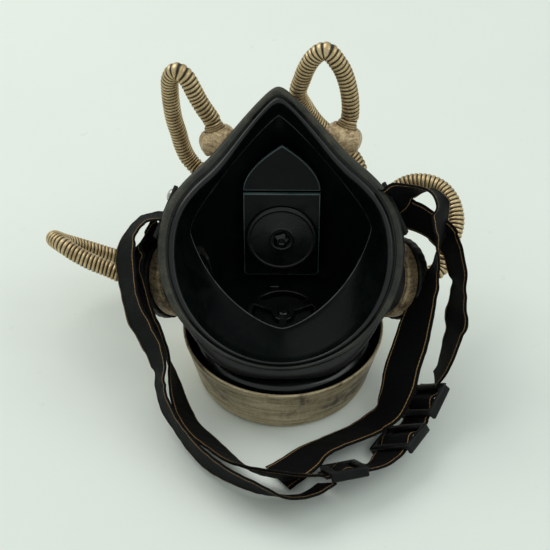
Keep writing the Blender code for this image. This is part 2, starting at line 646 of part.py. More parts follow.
def nose_fitting(side, label):
    centre, axis = nose_point(NUT_CENTRE, side), mirrored(NUT_AXIS, side)
    place(hexagon_dome("nose_nut_" + label, BRONZE), centre, axis)
    ferrule = turned("nose_ferrule_" + label, [
        (0, FERRULE_TOP), (4.4, FERRULE_TOP), (4.8, FERRULE_TOP - 0.6), (4.8, -3.6), (0, -3.6)],
        BRASS, closed=False, steps=20)
    place(ferrule, centre, axis)
    base = centre - axis * (NUT_HEIGHT / 2 + 2.4)
    route = [nose_point(point, side) for point in ((28.2, 34.0, 98.8), (28.2, 38.0, 98.8), (28.2, 41.4, 99.1),
                                                   (28.2, 43.4, 100.2))] + [base]
    elbow = hose("nose_elbow_" + label, route, BRONZE)
    elbow.data.bevel_depth = 5.6 * MM


def front_hub():
    half = HUB_DEPTH / 2
    hub = turned("front_hub_body", [
        (14.0, half - 1.6), (HUB_RADIUS - 1.2, half - 1.6), (HUB_RADIUS, half - 2.8), (HUB_RADIUS, -half + 1.0),
        (HUB_RADIUS - 1.0, -half), (11.2, -half), (11.2, -half + 2.0), (14.0, -half + 2.0)], BRONZE, steps=24)
    place(hub, HUB_CENTRE, HUB_AXIS)
    slots = []
    for k in range(6):
        middle = math.radians(60 * k)
        slots.append(circle_points(10.4, 5, start=middle - 0.3, end=middle + 0.3, whole=False)
                     + circle_points(5.6, 4, start=middle + 0.3, end=middle - 0.3, whole=False))
    grille = flat_plate("front_hub_grille", [circle_points(13.6, 40)] + slots, 1.6, BRASS)
    place(grille, HUB_CENTRE + HUB_AXIS * (half - 2.6), HUB_AXIS)
    flap = turned("exhale_valve_flap", disc_profile(12.6, -half + 2.4, -half + 3.2, 0.2), RUBBER,
                  closed=False, steps=20)
    place(flap, HUB_CENTRE, HUB_AXIS)
    ring = turned("front_hub_ring", ring_profile(18.5, 14.6, half - 1.3, half + 1.0), BRASS, steps=24)
    place(ring, HUB_CENTRE, HUB_AXIS)


def port_axis(side, degrees):
    up = HUB_AXIS.cross(Vector((-1.0, 0.0, 0.0))).normalized()
    up = up if up.z > 0 else -up
    turn = math.radians(degrees)
    return Vector((side * math.cos(turn), 0.0, 0.0)) + up * math.sin(turn)


def port_socket(name, side, degrees):
    axis = port_axis(side, degrees)
    start = HUB_RADIUS + GAP
    socket = turned(name, [
        (0, start + PORT_LENGTH), (PORT_RADIUS - 0.6, start + PORT_LENGTH), (PORT_RADIUS, start + PORT_LENGTH - 0.6),
        (PORT_RADIUS, start + 3.0), (4.6, start + 2.2), (4.6, start), (0, start)], BRASS, closed=False, steps=20)
    place(socket, HUB_CENTRE, axis)
    return HUB_CENTRE + axis * (start + PORT_LENGTH + GAP)


def hoses():
    routes = {
        "hose_upper_right": (HOSE_UPPER_RIGHT, 1, 0), "hose_upper_left": (HOSE_UPPER_LEFT, -1, 0),
        "hose_lower_right": (HOSE_LOWER_RIGHT, 1, 1), "hose_lower_left": (HOSE_LOWER_LEFT, -1, 1)}
    for name, (route, side, port) in routes.items():
        end = port_socket(name.replace("hose", "hub_port"), side, PORT_ANGLES[port])
        axis = port_axis(side, PORT_ANGLES[port])
        centre = nose_point(NUT_CENTRE, side) if port == 0 else mirrored(SIDE_CENTRE, side)
        out = mirrored(NUT_AXIS if port == 0 else SIDE_AXIS, side)
        begin = centre + out * ((FERRULE_TOP if port == 0 else SIDE_FITTING_TO) + 0.4)
        whole = [begin, begin + out * 2.5] + [Vector(p) for p in route] + [end + axis * 5.0, end + axis * 2.5, end]
        hose(name, whole, BRASS)


# --- Head harness ------------------------------------------------------------------------------

def anchor_frame(side):
    """Centre, long way, depth and outward direction of a strap plate beside the rim."""
    angle = side * PLATE_ANGLE
    edge = rim_point(angle)
    long_way = (rim_point(angle + side * 0.01) - rim_point(angle - side * 0.01)).normalized()
    depth = (INWARD - long_way * INWARD.dot(long_way)).normalized()
    outward = long_way.cross(depth) * side
    return edge + depth * PLATE_DEPTH + outward * PLATE_OUT, long_way, depth, outward


def strap_plate(side, label):
    centre, long_way, depth, outward = anchor_frame(side)
    across = outward.cross(long_way)
    outline = [(x * 13.0, y) for x, y in ((-1, -6), (1, -6))]
    outline += circle_points(3.0, 5, (10.0, 3.0), 0.0, math.pi / 2, False)
    outline += circle_points(3.0, 5, (-10.0, 3.0), math.pi / 2, math.pi, False)
    slot = [(-10.8, -4.2), (10.8, -4.2), (10.8, -1.4), (-10.8, -1.4)]
    hole = circle_points(1.9, 16, (-9.0, 2.0))
    turn = 1.0 if across.dot(depth) > 0 else -1.0
    outline, slot, hole = ([(x, y * turn) for x, y in ring] for ring in (outline, slot, hole))
    plate = flat_plate("strap_plate_" + label, [outline, slot, hole], 2.0, MATT_BLACK)
    rotation = Matrix((long_way, across, outward)).transposed().to_4x4()
    plate.matrix_world = Matrix.Translation(centre * MM) @ rotation
    screw = turned("strap_screw_" + label, [
        (0, 3.4), (1.6, 3.1), (3.0, 2.2), (3.4, 1.3), (1.6, 1.3), (1.6, -1.3), (0, -1.3)], STEEL,
        closed=False, steps=20)
    screw.matrix_world = Matrix.Translation((centre + long_way * -9.0 + across * 2.0 * turn) * MM) @ rotation


def slider(name, start, end):
    first, last = Vector(start[:3]), Vector(end[:3])
    along = (last - first).normalized()
    lean = (start[3] + end[3]) / 2
    width = lean_frame(along, lean)
    normal = along.cross(width).normalized()
    rotation = Matrix((along, width, normal)).transposed().to_4x4()
    where = Matrix.Translation((first + last) / 2 * MM) @ rotation
    rail_at = STRAP_WIDTH / 2 + 0.5 + SLIDER_RAIL / 2
    half = SLIDER_LENGTH / 2
    bars = [((0, rail_at, 0), (SLIDER_LENGTH, SLIDER_RAIL, 5.0)),
            ((0, -rail_at, 0), (SLIDER_LENGTH, SLIDER_RAIL, 5.0)),
            ((half - SLIDER_BAR / 2, 0, -1.75), (SLIDER_BAR, 2 * rail_at, 1.5)),
            ((-half + SLIDER_BAR / 2, 0, -1.75), (SLIDER_BAR, 2 * rail_at, 1.5)),
            ((0, 0, 1.75), (SLIDER_BAR + 1.4, 2 * rail_at, 1.5))]
    pieces = []
    for k, (middle, size) in enumerate(bars):
        bpy.ops.mesh.primitive_cube_add(size=1.0)
        cube = bpy.context.active_object
        cube.name = name if k == 0 else name + "_bar_" + str(k)
        for collection in list(cube.users_collection):
            collection.objects.unlink(cube)
        (MASK if k == 0 else CUTTERS).objects.link(cube)
        cube.data.transform(Matrix.Translation(Vector(middle) * MM) @ Matrix.Diagonal((*(Vector(size) * MM), 1)))
        cube.matrix_world = where
        pieces.append(cube)
    for other in pieces[1:]:
        boolean(pieces[0], other, "UNION")
    pieces[0].data.materials.append(MATT_BLACK)


def harness():
    webbing("strap_right_lower", STRAP_RIGHT_LOWER, WEBBING)
    webbing("strap_right_upper", STRAP_RIGHT_UPPER, WEBBING)
    webbing("strap_link", STRAP_LINK, WEBBING, straight=(0, 2, 5))
    webbing("strap_left_outer", STRAP_LEFT_OUTER, WEBBING)
    webbing("strap_left_inner", STRAP_LEFT_INNER, WEBBING)
    for name, (start, end) in SLIDER_STATIONS.items():
        slider(name, start, end)


mask_shell()
face_seal()
valve_panels()
inhale_valve()
chin_canister()
front_hub()
for side_sign, side_label in ((1, "right"), (-1, "left")):
    side_canister(side_sign, side_label)
    nose_fitting(side_sign, side_label)
    strap_plate(side_sign, side_label)
hoses()
harness()
bpy.context.view_layer.update()
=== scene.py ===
"""Looks of the half-face mask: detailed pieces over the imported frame, in the same row frame (mm below)."""
import math

import bmesh
import bpy
import numpy as np
from mathutils import Matrix, Vector


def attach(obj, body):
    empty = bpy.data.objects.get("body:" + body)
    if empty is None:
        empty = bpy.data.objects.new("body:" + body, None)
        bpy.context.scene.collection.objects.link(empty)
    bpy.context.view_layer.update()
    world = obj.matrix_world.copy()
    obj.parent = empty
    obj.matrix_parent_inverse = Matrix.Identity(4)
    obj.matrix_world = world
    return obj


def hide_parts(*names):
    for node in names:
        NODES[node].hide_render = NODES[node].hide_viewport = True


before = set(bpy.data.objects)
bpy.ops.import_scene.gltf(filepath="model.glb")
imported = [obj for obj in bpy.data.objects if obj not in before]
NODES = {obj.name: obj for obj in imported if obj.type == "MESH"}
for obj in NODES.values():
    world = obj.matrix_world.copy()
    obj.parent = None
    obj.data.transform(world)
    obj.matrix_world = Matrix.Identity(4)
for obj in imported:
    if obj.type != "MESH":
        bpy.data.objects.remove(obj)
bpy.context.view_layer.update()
MM = 0.001
Z_AXIS = Vector((0.0, 0.0, 1.0))

# --- Sizes shared with the frame -----------------------------------------------------------------
ACROSS = Vector((1.0, 0.0, 0.0))
OPENING_TILT = math.radians(44.0)
NOSEWARD = Vector((0.0, math.sin(OPENING_TILT), math.cos(OPENING_TILT)))
INWARD = Vector((0.0, math.cos(OPENING_TILT), -math.sin(OPENING_TILT)))
PLANE_ORIGIN = Vector((0.0, 0.0, 30.0))
SIDE_AXIS = Vector((0.848, 0.381, -0.368)).normalized()
SIDE_INSET = 3.6
SIDE_CENTRE = Vector((56.0, 8.2, 52.5)) - SIDE_AXIS * SIDE_INSET
HUB_CENTRE = Vector((0.0, 53.5, 61.0))
HUB_AXIS = Vector((0.0, 0.985, -0.174)).normalized()
HUB_RADIUS = 22.0
PORT_ANGLES = (20.0, -40.0)
NUT_CENTRE = Vector((30.2, 47.0, 108.8))
NUT_AXIS = Vector((0.30, 0.28, 0.91)).normalized()
NOSE_SHIFT = -1.8
NOSE_RISE = 1.0
FERRULE_TOP = 7.4
SIDE_FITTING_TO = 11.6
ROLL = math.radians(1.3)
ROLL_SHIFT = -0.4
FLANK_PINCH = 2.6
FLANK_END = math.radians(76.0)
CHIN_FLAT = 1.6
PLATE_ANGLE = math.radians(70.0)
PANEL_HALF_WIDTH = 18.9
PANEL_FOOT = Vector((-1.0, 25.5, 39.8))
PANEL_TOP = Vector((-1.0, 33.4, 85.4))
PANEL_UP = (PANEL_TOP - PANEL_FOOT).normalized()
PANEL_NORMAL = -ACROSS.cross(PANEL_UP).normalized()
if PANEL_NORMAL.y > 0:
    PANEL_NORMAL = -PANEL_NORMAL
PANEL_HEIGHT = (PANEL_TOP - PANEL_FOOT).length
VALVE_HEIGHT = 21.5
STRAP_WIDTH = 20.0
STRAP_THICK = 1.2

HOSE_ROUTES = {
    "hose_upper_right": [
        (31.5, 49.2, 124.5), (31, 49, 130), (30, 49, 135.5), (28.5, 49, 141), (26.5, 49, 146),
        (24, 49, 150), (21.5, 49.5, 153.2), (19.2, 50, 154.6), (16, 51, 153.2), (12.5, 52.5, 148.5),
        (10, 54, 142.5), (8.5, 55.5, 137), (6.5, 58, 127), (10, 63, 116), (16, 65.5, 105), (25, 66.5, 95),
        (34, 65, 86), (38.5, 61, 78)],
    "hose_upper_left": [
        (-39, 49.5, 124.5), (-41.5, 50, 129.5), (-43.5, 50, 134.5), (-45.5, 50.5, 138.8),
        (-47.7, 51, 141.4), (-50, 52, 142.2), (-52.5, 53.5, 140.3), (-54.5, 55.5, 135), (-55, 57.5, 128),
        (-55, 59.5, 119), (-54.5, 61.5, 109.5), (-53, 63.5, 100), (-51.5, 65, 90.5), (-49, 65.5, 83),
        (-44, 63, 78)],
    "hose_lower_right": [
        (77, 18, 49), (80, 22, 53.5), (82.7, 26, 58), (85, 30.5, 62), (86.5, 36, 66), (86, 41.5, 69.5),
        (84, 47, 72.3), (79.5, 53, 74.5), (72.5, 57, 75), (64, 60, 72), (56, 61, 65), (48, 60, 56.5),
        (41, 58, 49)],
    "hose_lower_left": [
        (-79, 17.5, 44.6), (-88, 20, 47), (-97, 22, 50), (-105, 25, 53), (-111.5, 29, 55),
        (-116.5, 35, 53.5), (-117.5, 41, 49), (-115, 46, 43), (-109, 50, 37), (-101, 52, 32),
        (-92, 53, 27.5), (-81, 54, 23), (-68, 55.5, 20), (-56, 57, 20.5), (-46, 57.5, 26),
        (-39, 57.5, 33.5)],
}
STRAP_ROUTES = {
    "strap_right_lower": [
        (48, 13.5, 95, -16), (51.5, 12, 99.5, -20), (54.5, 11.5, 103.5, -32), (59.5, 9.5, 106.5, -44),
        (65, 7.5, 108, -52), (69, 6, 106.5, -60), (71.5, 4.5, 103, -62), (72.5, 3, 98, -53),
        (73, 1, 91, -30), (73, -2, 85, -11), (72, -6, 74, 20), (69.8, -9.4, 67, 45),
        (66.8, -13.6, 58.5, 55), (63.8, -18.6, 49.5, 63), (61, -24, 39.5, 68), (57.5, -31, 31.5, 68),
        (54.5, -38, 20.5, 67), (50.5, -43, 12.5, 70), (44.5, -46.2, 7.6, 67), (36.5, -51, 6.4, 62),
        (25.5, -56.6, 6.2, 60), (17.5, -61, 5.6, 62), (12, -65, 4, 72), (4, -71.5, 3, 76),
        (-2, -76, 2.5, 80)],
    "strap_right_upper": [
        (51, 18, 89.5, -7), (57.5, 16.5, 87.5, -7), (59.5, 15.8, 86.6, -7), (64, 14.4, 85.4, -8),
        (69, 12.2, 83.6, -11), (73.5, 9.8, 81.8, -8), (77.5, 7.2, 78, -3), (80, 3.6, 75, 1),
        (82, -1, 69.2, 3), (83.5, -5.5, 64, 4), (83.5, -9, 58.5, 18), (83, -13, 52, 24),
        (82.5, -18, 43.5, 32), (80, -23, 37, 40), (77.5, -26, 27, 46),
        (74.3, -28.4, 18.6, 46)],
    "strap_link": [
        (73.3, -29.4, 17.2, 46), (63.7, -46.6, 10, 46), (61.4, -50.1, 9.9, 52), (49.6, -67.5, 9.9, 52),
        (44.6, -73.4, 10, 46), (38.8, -75.8, 10.6, 47), (18.4, -80.8, 10.6, 47)],
    "strap_left_outer": [
        (-52, 12, 86.5, 68), (-57.5, 10.6, 88.8, 64), (-64.6, 8.6, 89, 60), (-66.8, 7.6, 88.2, 58),
        (-70.3, 5.2, 85.4, 54), (-73.3, 1.4, 81, 45), (-74.4, -5, 75.3, 34), (-72.9, -13, 63.7, 19),
        (-69.8, -20, 54.3, 11), (-65.4, -25, 46.8, 4), (-61.2, -30, 40.3, 10), (-58.6, -36, 34.2, 15),
        (-57.9, -41.5, 27.7, 13), (-55.9, -48, 22.7, 2), (-50.5, -56, 18, -6), (-43.5, -65, 14.6, -6),
        (-35, -75, 14, -9), (-23, -84, 13.6, -17), (-10, -90.6, 13.4, -24), (1.5, -93.4, 11.2, -40),
        (11, -91.4, 9.8, -42), (17, -87.4, 9.4, -43), (20.5, -84.5, 9.6, -43)],
    "strap_left_inner": [
        (-58, 12, 79, 10), (-62, 10.5, 77.5, 14), (-66.5, 6.5, 75.5, 20), (-71.3, 0.4, 75.6, 40),
        (-71.3, -3, 72.6, 34), (-70.6, -8.6, 66.6, 24), (-67.8, -14.8, 58.4, 15), (-64, -21, 50, 6),
        (-59.6, -25.8, 42.6, -6), (-55.2, -30.5, 33.8, -18), (-52.4, -35.5, 25, -27),
        (-49.4, -42, 17.5, -34), (-44.8, -50.5, 13, -41), (-38, -58.5, 11.5, -48), (-30, -67, 11.8, -45),
        (-22, -75.5, 13, -40), (-13, -80.6, 14, -32), (0, -83.4, 14, -30), (9, -83.2, 13.2, -36),
        (15.6, -81.6, 12, -42)],
}


# --- Shader helpers ------------------------------------------------------------------------------

class Look:
    """A Principled material built from small procedural steps."""

    def __init__(self, name, rough=0.5, metallic=0.0, specular=0.5, coat=0.0, coat_rough=0.1):
        self.material = bpy.data.materials.new(name)
        self.material.use_nodes = True
        self.tree = self.material.node_tree
        self.shader = self.tree.nodes["Principled BSDF"]
        self.set("Roughness", rough)
        self.set("Metallic", metallic)
        self.set("Specular IOR Level", specular)
        self.set("Coat Weight", coat)
        self.set("Coat Roughness", coat_rough)
        self.texture = self.tree.nodes.new("ShaderNodeTexCoord")

    def put(self, socket, given):
        if isinstance(given, bpy.types.NodeSocket):
            self.tree.links.new(given, socket)
        elif isinstance(given, (tuple, list)) and len(given) == 3 and socket.type == "RGBA":
            socket.default_value = (*given, 1.0)
        else:
            socket.default_value = given

    def set(self, name, given):
        self.put(self.shader.inputs[name], given)
        return self

    def where(self, kind="Object", scale=(1.0, 1.0, 1.0), turn=(0.0, 0.0, 0.0)):
        mapping = self.tree.nodes.new("ShaderNodeMapping")
        mapping.inputs["Scale"].default_value = scale
        mapping.inputs["Rotation"].default_value = turn
        self.tree.links.new(self.texture.outputs[kind], mapping.inputs["Vector"])
        return mapping.outputs["Vector"]

    def noise(self, where, scale, detail=4.0, rough=0.55, distortion=0.0):
        made = self.tree.nodes.new("ShaderNodeTexNoise")
        self.tree.links.new(where, made.inputs["Vector"])
        made.inputs["Scale"].default_value = scale
        made.inputs["Detail"].default_value = detail
        made.inputs["Roughness"].default_value = rough
        made.inputs["Distortion"].default_value = distortion
        return made.outputs["Fac"]

    def maths(self, operation, first, second=0.0, clamp=False):
        made = self.tree.nodes.new("ShaderNodeMath")
        made.operation = operation
        made.use_clamp = clamp
        self.put(made.inputs[0], first)
        self.put(made.inputs[1], second)
        return made.outputs[0]

    def between(self, given, low, high, to_low=0.0, to_high=1.0):
        made = self.tree.nodes.new("ShaderNodeMapRange")
        made.interpolation_type = "SMOOTHSTEP"
        self.put(made.inputs["Value"], given)
        made.inputs["From Min"].default_value = low
        made.inputs["From Max"].default_value = high
        made.inputs["To Min"].default_value = to_low
        made.inputs["To Max"].default_value = to_high
        return made.outputs["Result"]

    def ramp(self, factor, *stops):
        made = self.tree.nodes.new("ShaderNodeValToRGB")
        self.put(made.inputs["Fac"], factor)
        band = made.color_ramp
        while len(band.elements) < len(stops):
            band.elements.new(0.5)
        for element, (position, colour) in zip(band.elements, stops):
            element.position = position
            element.color = (*colour, 1.0)
        return made.outputs["Color"]

    def mix(self, factor, first, second):
        made = self.tree.nodes.new("ShaderNodeMix")
        made.data_type = "RGBA"
        self.put(made.inputs[0], factor)
        self.put(made.inputs[6], first)
        self.put(made.inputs[7], second)
        return made.outputs[2]

    def attribute(self, name):
        made = self.tree.nodes.new("ShaderNodeAttribute")
        made.attribute_name = name
        return made.outputs["Fac"]

    def split(self, vector):
        made = self.tree.nodes.new("ShaderNodeSeparateXYZ")
        self.tree.links.new(vector, made.inputs[0])
        return made.outputs

    def bump(self, height, strength, distance, below=None):
        made = self.tree.nodes.new("ShaderNodeBump")
        made.inputs["Strength"].default_value = strength
        made.inputs["Distance"].default_value = distance
        self.put(made.inputs["Height"], height)
        if below is not None:
            self.tree.links.new(below, made.inputs["Normal"])
        return made.outputs["Normal"]


def bronze_look(name="antique_bronze", light=(0.50, 0.41, 0.255), middle=(0.32, 0.25, 0.145),
                dark=(0.045, 0.027, 0.013), patch=0.5, uv_streaks=True, chin_side_dark=None):
    """Black plastic rubbed over with bronze paint: light brushed strokes, brown patches, dark pits."""
    look = Look(name, metallic=0.35, specular=0.5)
    place = look.where()
    strokes_at = look.where("UV", (0.03, 0.30, 1.0), (0.0, 0.0, 0.22)) if uv_streaks else look.where(
        "Object", (260.0, 260.0, 900.0), (0.3, 0.2, 0.5))
    strokes = look.noise(strokes_at, 1.0, 8.0, 0.7, 0.8)
    cross_at = look.where("UV", (0.25, 0.05, 1.0), (0.0, 0.0, -0.5)) if uv_streaks else look.where(
        "Object", (900.0, 300.0, 300.0), (0.9, 0.2, 0.1))
    cross = look.noise(cross_at, 1.0, 6.0, 0.65, 1.2)
    cloud = look.noise(place, 34.0, 5.0, 0.62, 0.4)
    fine = look.noise(place, 900.0, 3.0, 0.6)
    rubbed = look.maths("ADD", look.maths("MULTIPLY", strokes, 0.8), look.maths("MULTIPLY", cross, 0.2))
    tone = look.maths("ADD", rubbed, look.maths("MULTIPLY", look.maths("SUBTRACT", fine, 0.5), 0.22))
    colour = look.ramp(tone, (0.30, dark), (0.43, middle), (0.56, light),
                       (0.74, tuple(1.25 * c for c in light)))
    wear_and_lip_highlight = look.between(cloud, patch + 0.04, patch + 0.16)
    brown = look.ramp(tone, (0.3, dark), (0.6, (0.11, 0.062, 0.036)), (0.8, middle))
    painted = look.mix(wear_and_lip_highlight, colour, brown)
    # the given point attribute fades the paint to near black and takes the metal out
    if chin_side_dark:
        painted = look.mix(look.attribute(chin_side_dark), painted, (0.006, 0.0065, 0.0065))
        look.set("Metallic", look.maths("SUBTRACT", 0.35, look.maths("MULTIPLY", look.attribute(chin_side_dark), 0.35)))
    look.set("Base Color", painted)
    rough = look.between(tone, 0.3, 0.7, 0.62, 0.40)
    look.set("Roughness", look.maths("ADD", rough, look.maths("MULTIPLY", wear_and_lip_highlight, -0.08)))
    height = look.maths("ADD", look.maths("MULTIPLY", rubbed, 0.6), look.maths("MULTIPLY", fine, 0.4))
    look.set("Normal", look.bump(height, 0.35, 0.0004))
    return look.material


def hose_look(name="hose_brass"):
    look = Look(name, metallic=0.75, specular=0.5)
    crest = look.attribute("crest")
    place = look.where()
    cloud = look.noise(place, 90.0, 4.0, 0.6)
    fine = look.noise(place, 1400.0, 3.0, 0.6)
    tone = look.maths("ADD", look.maths("MULTIPLY", cloud, 0.6), look.maths("MULTIPLY", fine, 0.4))
    gold = look.ramp(tone, (0.32, (0.27, 0.18, 0.085)), (0.5, (0.56, 0.41, 0.21)), (0.68, (0.80, 0.63, 0.38)))
    top = look.between(crest, 0.34, 0.90)
    look.set("Base Color", look.mix(top, (0.010, 0.0055, 0.003), gold))
    look.set("Metallic", look.between(crest, 0.2, 0.7, 0.2, 0.75))
    look.set("Roughness", look.between(tone, 0.3, 0.7, 0.5, 0.32))
    look.set("Normal", look.bump(fine, 0.25, 0.0002))
    return look.material


def brass_look(name="aged_brass"):
    look = Look(name, metallic=0.7, specular=0.5)
    place = look.where()
    cloud = look.noise(place, 130.0, 5.0, 0.6, 0.6)
    fine = look.noise(place, 1500.0, 3.0, 0.6)
    tone = look.maths("ADD", look.maths("MULTIPLY", cloud, 0.7), look.maths("MULTIPLY", fine, 0.3))
    look.set("Base Color", look.ramp(tone, (0.3, (0.04, 0.026, 0.014)), (0.45, (0.22, 0.15, 0.075)),
                                     (0.62, (0.45, 0.34, 0.19))))
    look.set("Roughness", look.between(tone, 0.3, 0.7, 0.6, 0.36))
    look.set("Normal", look.bump(look.maths("ADD", cloud, fine), 0.3, 0.0003))
    return look.material


def gloss_look(name="gloss_black", rough=0.16, ripple=0.25, specular=0.5, tint=1.0):
    look = Look(name, rough=rough, specular=specular)
    place = look.where()
    smear = look.noise(place, 45.0, 5.0, 0.6, 0.8)
    fine = look.noise(place, 1100.0, 2.0, 0.5)
    wave = look.noise(place, 70.0, 2.0, 0.4)
    look.set("Base Color", look.ramp(smear, (0.35, (0.0010 * tint, 0.0018 * tint, 0.0018 * tint)),
                                     (0.7, (0.0028 * tint, 0.0042 * tint, 0.0042 * tint))))
    scuff = look.between(smear, 0.45, 0.7, rough, rough + 0.16)
    look.set("Roughness", look.maths("ADD", scuff, look.maths("MULTIPLY", fine, 0.06)))
    look.set("Normal", look.bump(wave, ripple, 0.0012, look.bump(fine, 0.12, 0.0001)))
    return look.material


def rubber_look(name="seal_rubber", specular=0.5):
    """Soft black rim; the attribute ridge marks the outer ridge, dusted with bronze overspray."""
    look = Look(name, specular=specular)
    place = look.where()
    ridge = look.attribute("ridge")
    lip = look.attribute("lip")
    cloud = look.noise(place, 80.0, 6.0, 0.65, 0.6)
    fine = look.noise(place, 1300.0, 3.0, 0.7)
    specks = look.between(look.noise(place, 700.0, 4.0, 0.7), 0.50, 0.66)
    black = look.ramp(cloud, (0.35, (0.0012, 0.0022, 0.0021)), (0.7, (0.0034, 0.0052, 0.0048)))
    dusty = look.ramp(look.maths("ADD", look.maths("MULTIPLY", cloud, 0.6),
                                 look.maths("MULTIPLY", fine, 0.4)),
                      (0.3, (0.006, 0.007, 0.005)), (0.52, (0.028, 0.028, 0.019)),
                      (0.72, (0.10, 0.088, 0.06)))
    amount = look.maths("MULTIPLY", ridge, look.between(cloud, 0.36, 0.62, 0.45, 1.0))
    amount = look.maths("ADD", amount, look.maths("MULTIPLY", look.maths("MULTIPLY", specks, ridge), 0.3),
                        True)
    rubbed = look.mix(amount, black, dusty)
    # painted highlight: the lip attribute turns the lip's edge grey, standing in for the light caught along
    # it
    wear_and_lip_highlight = look.maths("MULTIPLY", lip, look.between(cloud, 0.34, 0.6, 0.55, 1.0))
    look.set("Base Color", look.mix(wear_and_lip_highlight, rubbed, (0.13, 0.14, 0.13)))
    look.set("Roughness", look.maths("ADD", look.between(cloud, 0.3, 0.7, 0.24, 0.36),
                                     look.maths("MULTIPLY", amount, 0.3)))
    look.set("Normal", look.bump(fine, 0.22, 0.00018, look.bump(cloud, 0.2, 0.0006)))
    return look.material


def plastic_look(name="matt_black", rough=0.36, dusty=0.0, specular=0.3):
    look = Look(name, specular=specular)
    place = look.where()
    cloud = look.noise(place, 120.0, 5.0, 0.6)
    fine = look.noise(place, 2200.0, 2.0, 0.6)
    base = look.ramp(cloud, (0.35, (0.003, 0.0036, 0.0038)), (0.7, (0.007, 0.008, 0.008)))
    dust = look.between(look.noise(place, 260.0, 6.0, 0.7), 0.5, 0.72, 0.0, dusty)
    look.set("Base Color", look.mix(dust, base, (0.12, 0.095, 0.06)))
    look.set("Roughness", look.maths("ADD", look.between(cloud, 0.3, 0.7, rough, rough + 0.14),
                                     look.maths("MULTIPLY", fine, 0.08)))
    look.set("Normal", look.bump(fine, 0.25, 0.00012))
    return look.material


def steel_look(name="plated_steel"):
    look = Look(name, metallic=1.0)
    place = look.where()
    cloud = look.noise(place, 500.0, 4.0, 0.6)
    look.set("Base Color", look.ramp(cloud, (0.3, (0.28, 0.27, 0.25)), (0.6, (0.58, 0.57, 0.53))))
    look.set("Roughness", look.between(cloud, 0.3, 0.7, 0.42, 0.2))
    look.set("Normal", look.bump(look.noise(place, 2500.0, 2.0), 0.1, 0.0001))
    return look.material


def webbing_look(name="black_elastic"):
    """Ribbed elastic; UV is millimetres across (0 to 20) and along; an ochre thread near each edge."""
    look = Look(name, rough=0.72, specular=0.08)
    across, along, _ = look.split(look.where("UV"))
    edge = look.maths("MINIMUM", across, look.maths("SUBTRACT", STRAP_WIDTH, across))
    wander = look.noise(look.where("UV", (0.0, 0.12, 1.0)), 1.0, 2.0)
    line = look.maths("ABSOLUTE", look.maths("SUBTRACT", edge,
                                             look.maths("ADD", 1.35, look.maths("MULTIPLY", wander, 0.5))))
    step = look.maths("PINGPONG", along, 0.9)
    dash = look.between(step, 0.08, 0.24)
    thread = look.maths("MULTIPLY", look.between(line, 0.32, 0.16),
                        look.maths("ADD", 0.35, look.maths("MULTIPLY", dash, 0.65)))
    rib = look.maths("PINGPONG", along, 0.42)
    warp = look.maths("PINGPONG", across, 0.3)
    fuzz = look.noise(look.where("UV", (1.0, 1.0, 1.0)), 3.0, 4.0, 0.7)
    lint = look.between(look.noise(look.where("UV", (0.35, 0.12, 1.0)), 1.0, 6.0, 0.75), 0.58, 0.75)
    weave = look.maths("ADD", look.maths("MULTIPLY", rib, 1.5), look.maths("MULTIPLY", warp, 0.9))
    base = look.ramp(look.maths("ADD", look.maths("MULTIPLY", weave, 0.5), look.maths("MULTIPLY", fuzz, 0.5)),
                     (0.25, (0.0010, 0.0013, 0.0013)), (0.75, (0.0055, 0.0064, 0.0062)))
    base = look.mix(look.maths("MULTIPLY", lint, 0.16), base, (0.04, 0.04, 0.037))
    ochre = look.ramp(fuzz, (0.3, (0.22, 0.11, 0.04)), (0.7, (0.46, 0.28, 0.13)))
    look.set("Base Color", look.mix(thread, base, ochre))
    height = look.maths("ADD", look.maths("ADD", weave, look.maths("MULTIPLY", fuzz, 0.5)),
                        look.maths("MULTIPLY", thread, 1.2))
    look.set("Normal", look.bump(height, 0.55, 0.00035))
    look.set("Roughness", look.between(fuzz, 0.3, 0.7, 0.62, 0.82))
    return look.material


def felt_look(name="filter_felt"):
    look = Look(name, rough=0.95, specular=0.2)
    place = look.where()
    fibres = look.noise(look.where("Object", (900.0, 900.0, 2600.0)), 1.0, 6.0, 0.75, 2.0)
    cloud = look.noise(place, 90.0, 4.0)
    look.set("Base Color", look.ramp(look.maths("ADD", look.maths("MULTIPLY", fibres, 0.6),
                                                look.maths("MULTIPLY", cloud, 0.4)),
                                     (0.3, (0.23, 0.21, 0.17)), (0.7, (0.55, 0.52, 0.45))))
    look.set("Normal", look.bump(fibres, 0.8, 0.0006))
    return look.material


def table_look():
    look = Look("pale_table", rough=0.6, specular=0.2)
    place = look.where()
    cloud = look.noise(place, 6.0, 4.0, 0.6)
    grain = look.noise(place, 420.0, 4.0, 0.6)
    specks = look.between(look.noise(place, 95.0, 2.0, 0.6), 0.70, 0.76)
    base = look.ramp(cloud, (0.3, (0.80, 0.835, 0.79)), (0.7, (0.825, 0.86, 0.815)))
    look.set("Base Color", look.mix(look.maths("MULTIPLY", specks, 0.10), base, (0.4, 0.42, 0.38)))
    look.set("Normal", look.bump(grain, 0.08, 0.0006))
    return look.material


BRONZE = bronze_look()
BRONZE_PLAIN = bronze_look("bronze_fitting", uv_streaks=False, light=(0.46, 0.345, 0.20),
                           middle=(0.20, 0.138, 0.074), dark=(0.03, 0.017, 0.009), patch=0.5)
BRONZE_SHELL = bronze_look("bronze_shell_paint", uv_streaks=False, light=(0.25, 0.20, 0.13),
                           middle=(0.12, 0.09, 0.055), dark=(0.015, 0.012, 0.009), patch=0.42, chin_side_dark="chin_side_dark")
HOSE = hose_look()
BRASS = brass_look()
GLOSS = gloss_look()
GLOSS_PANEL = gloss_look("gloss_black_panel", rough=0.2, ripple=0.14, specular=0.14)
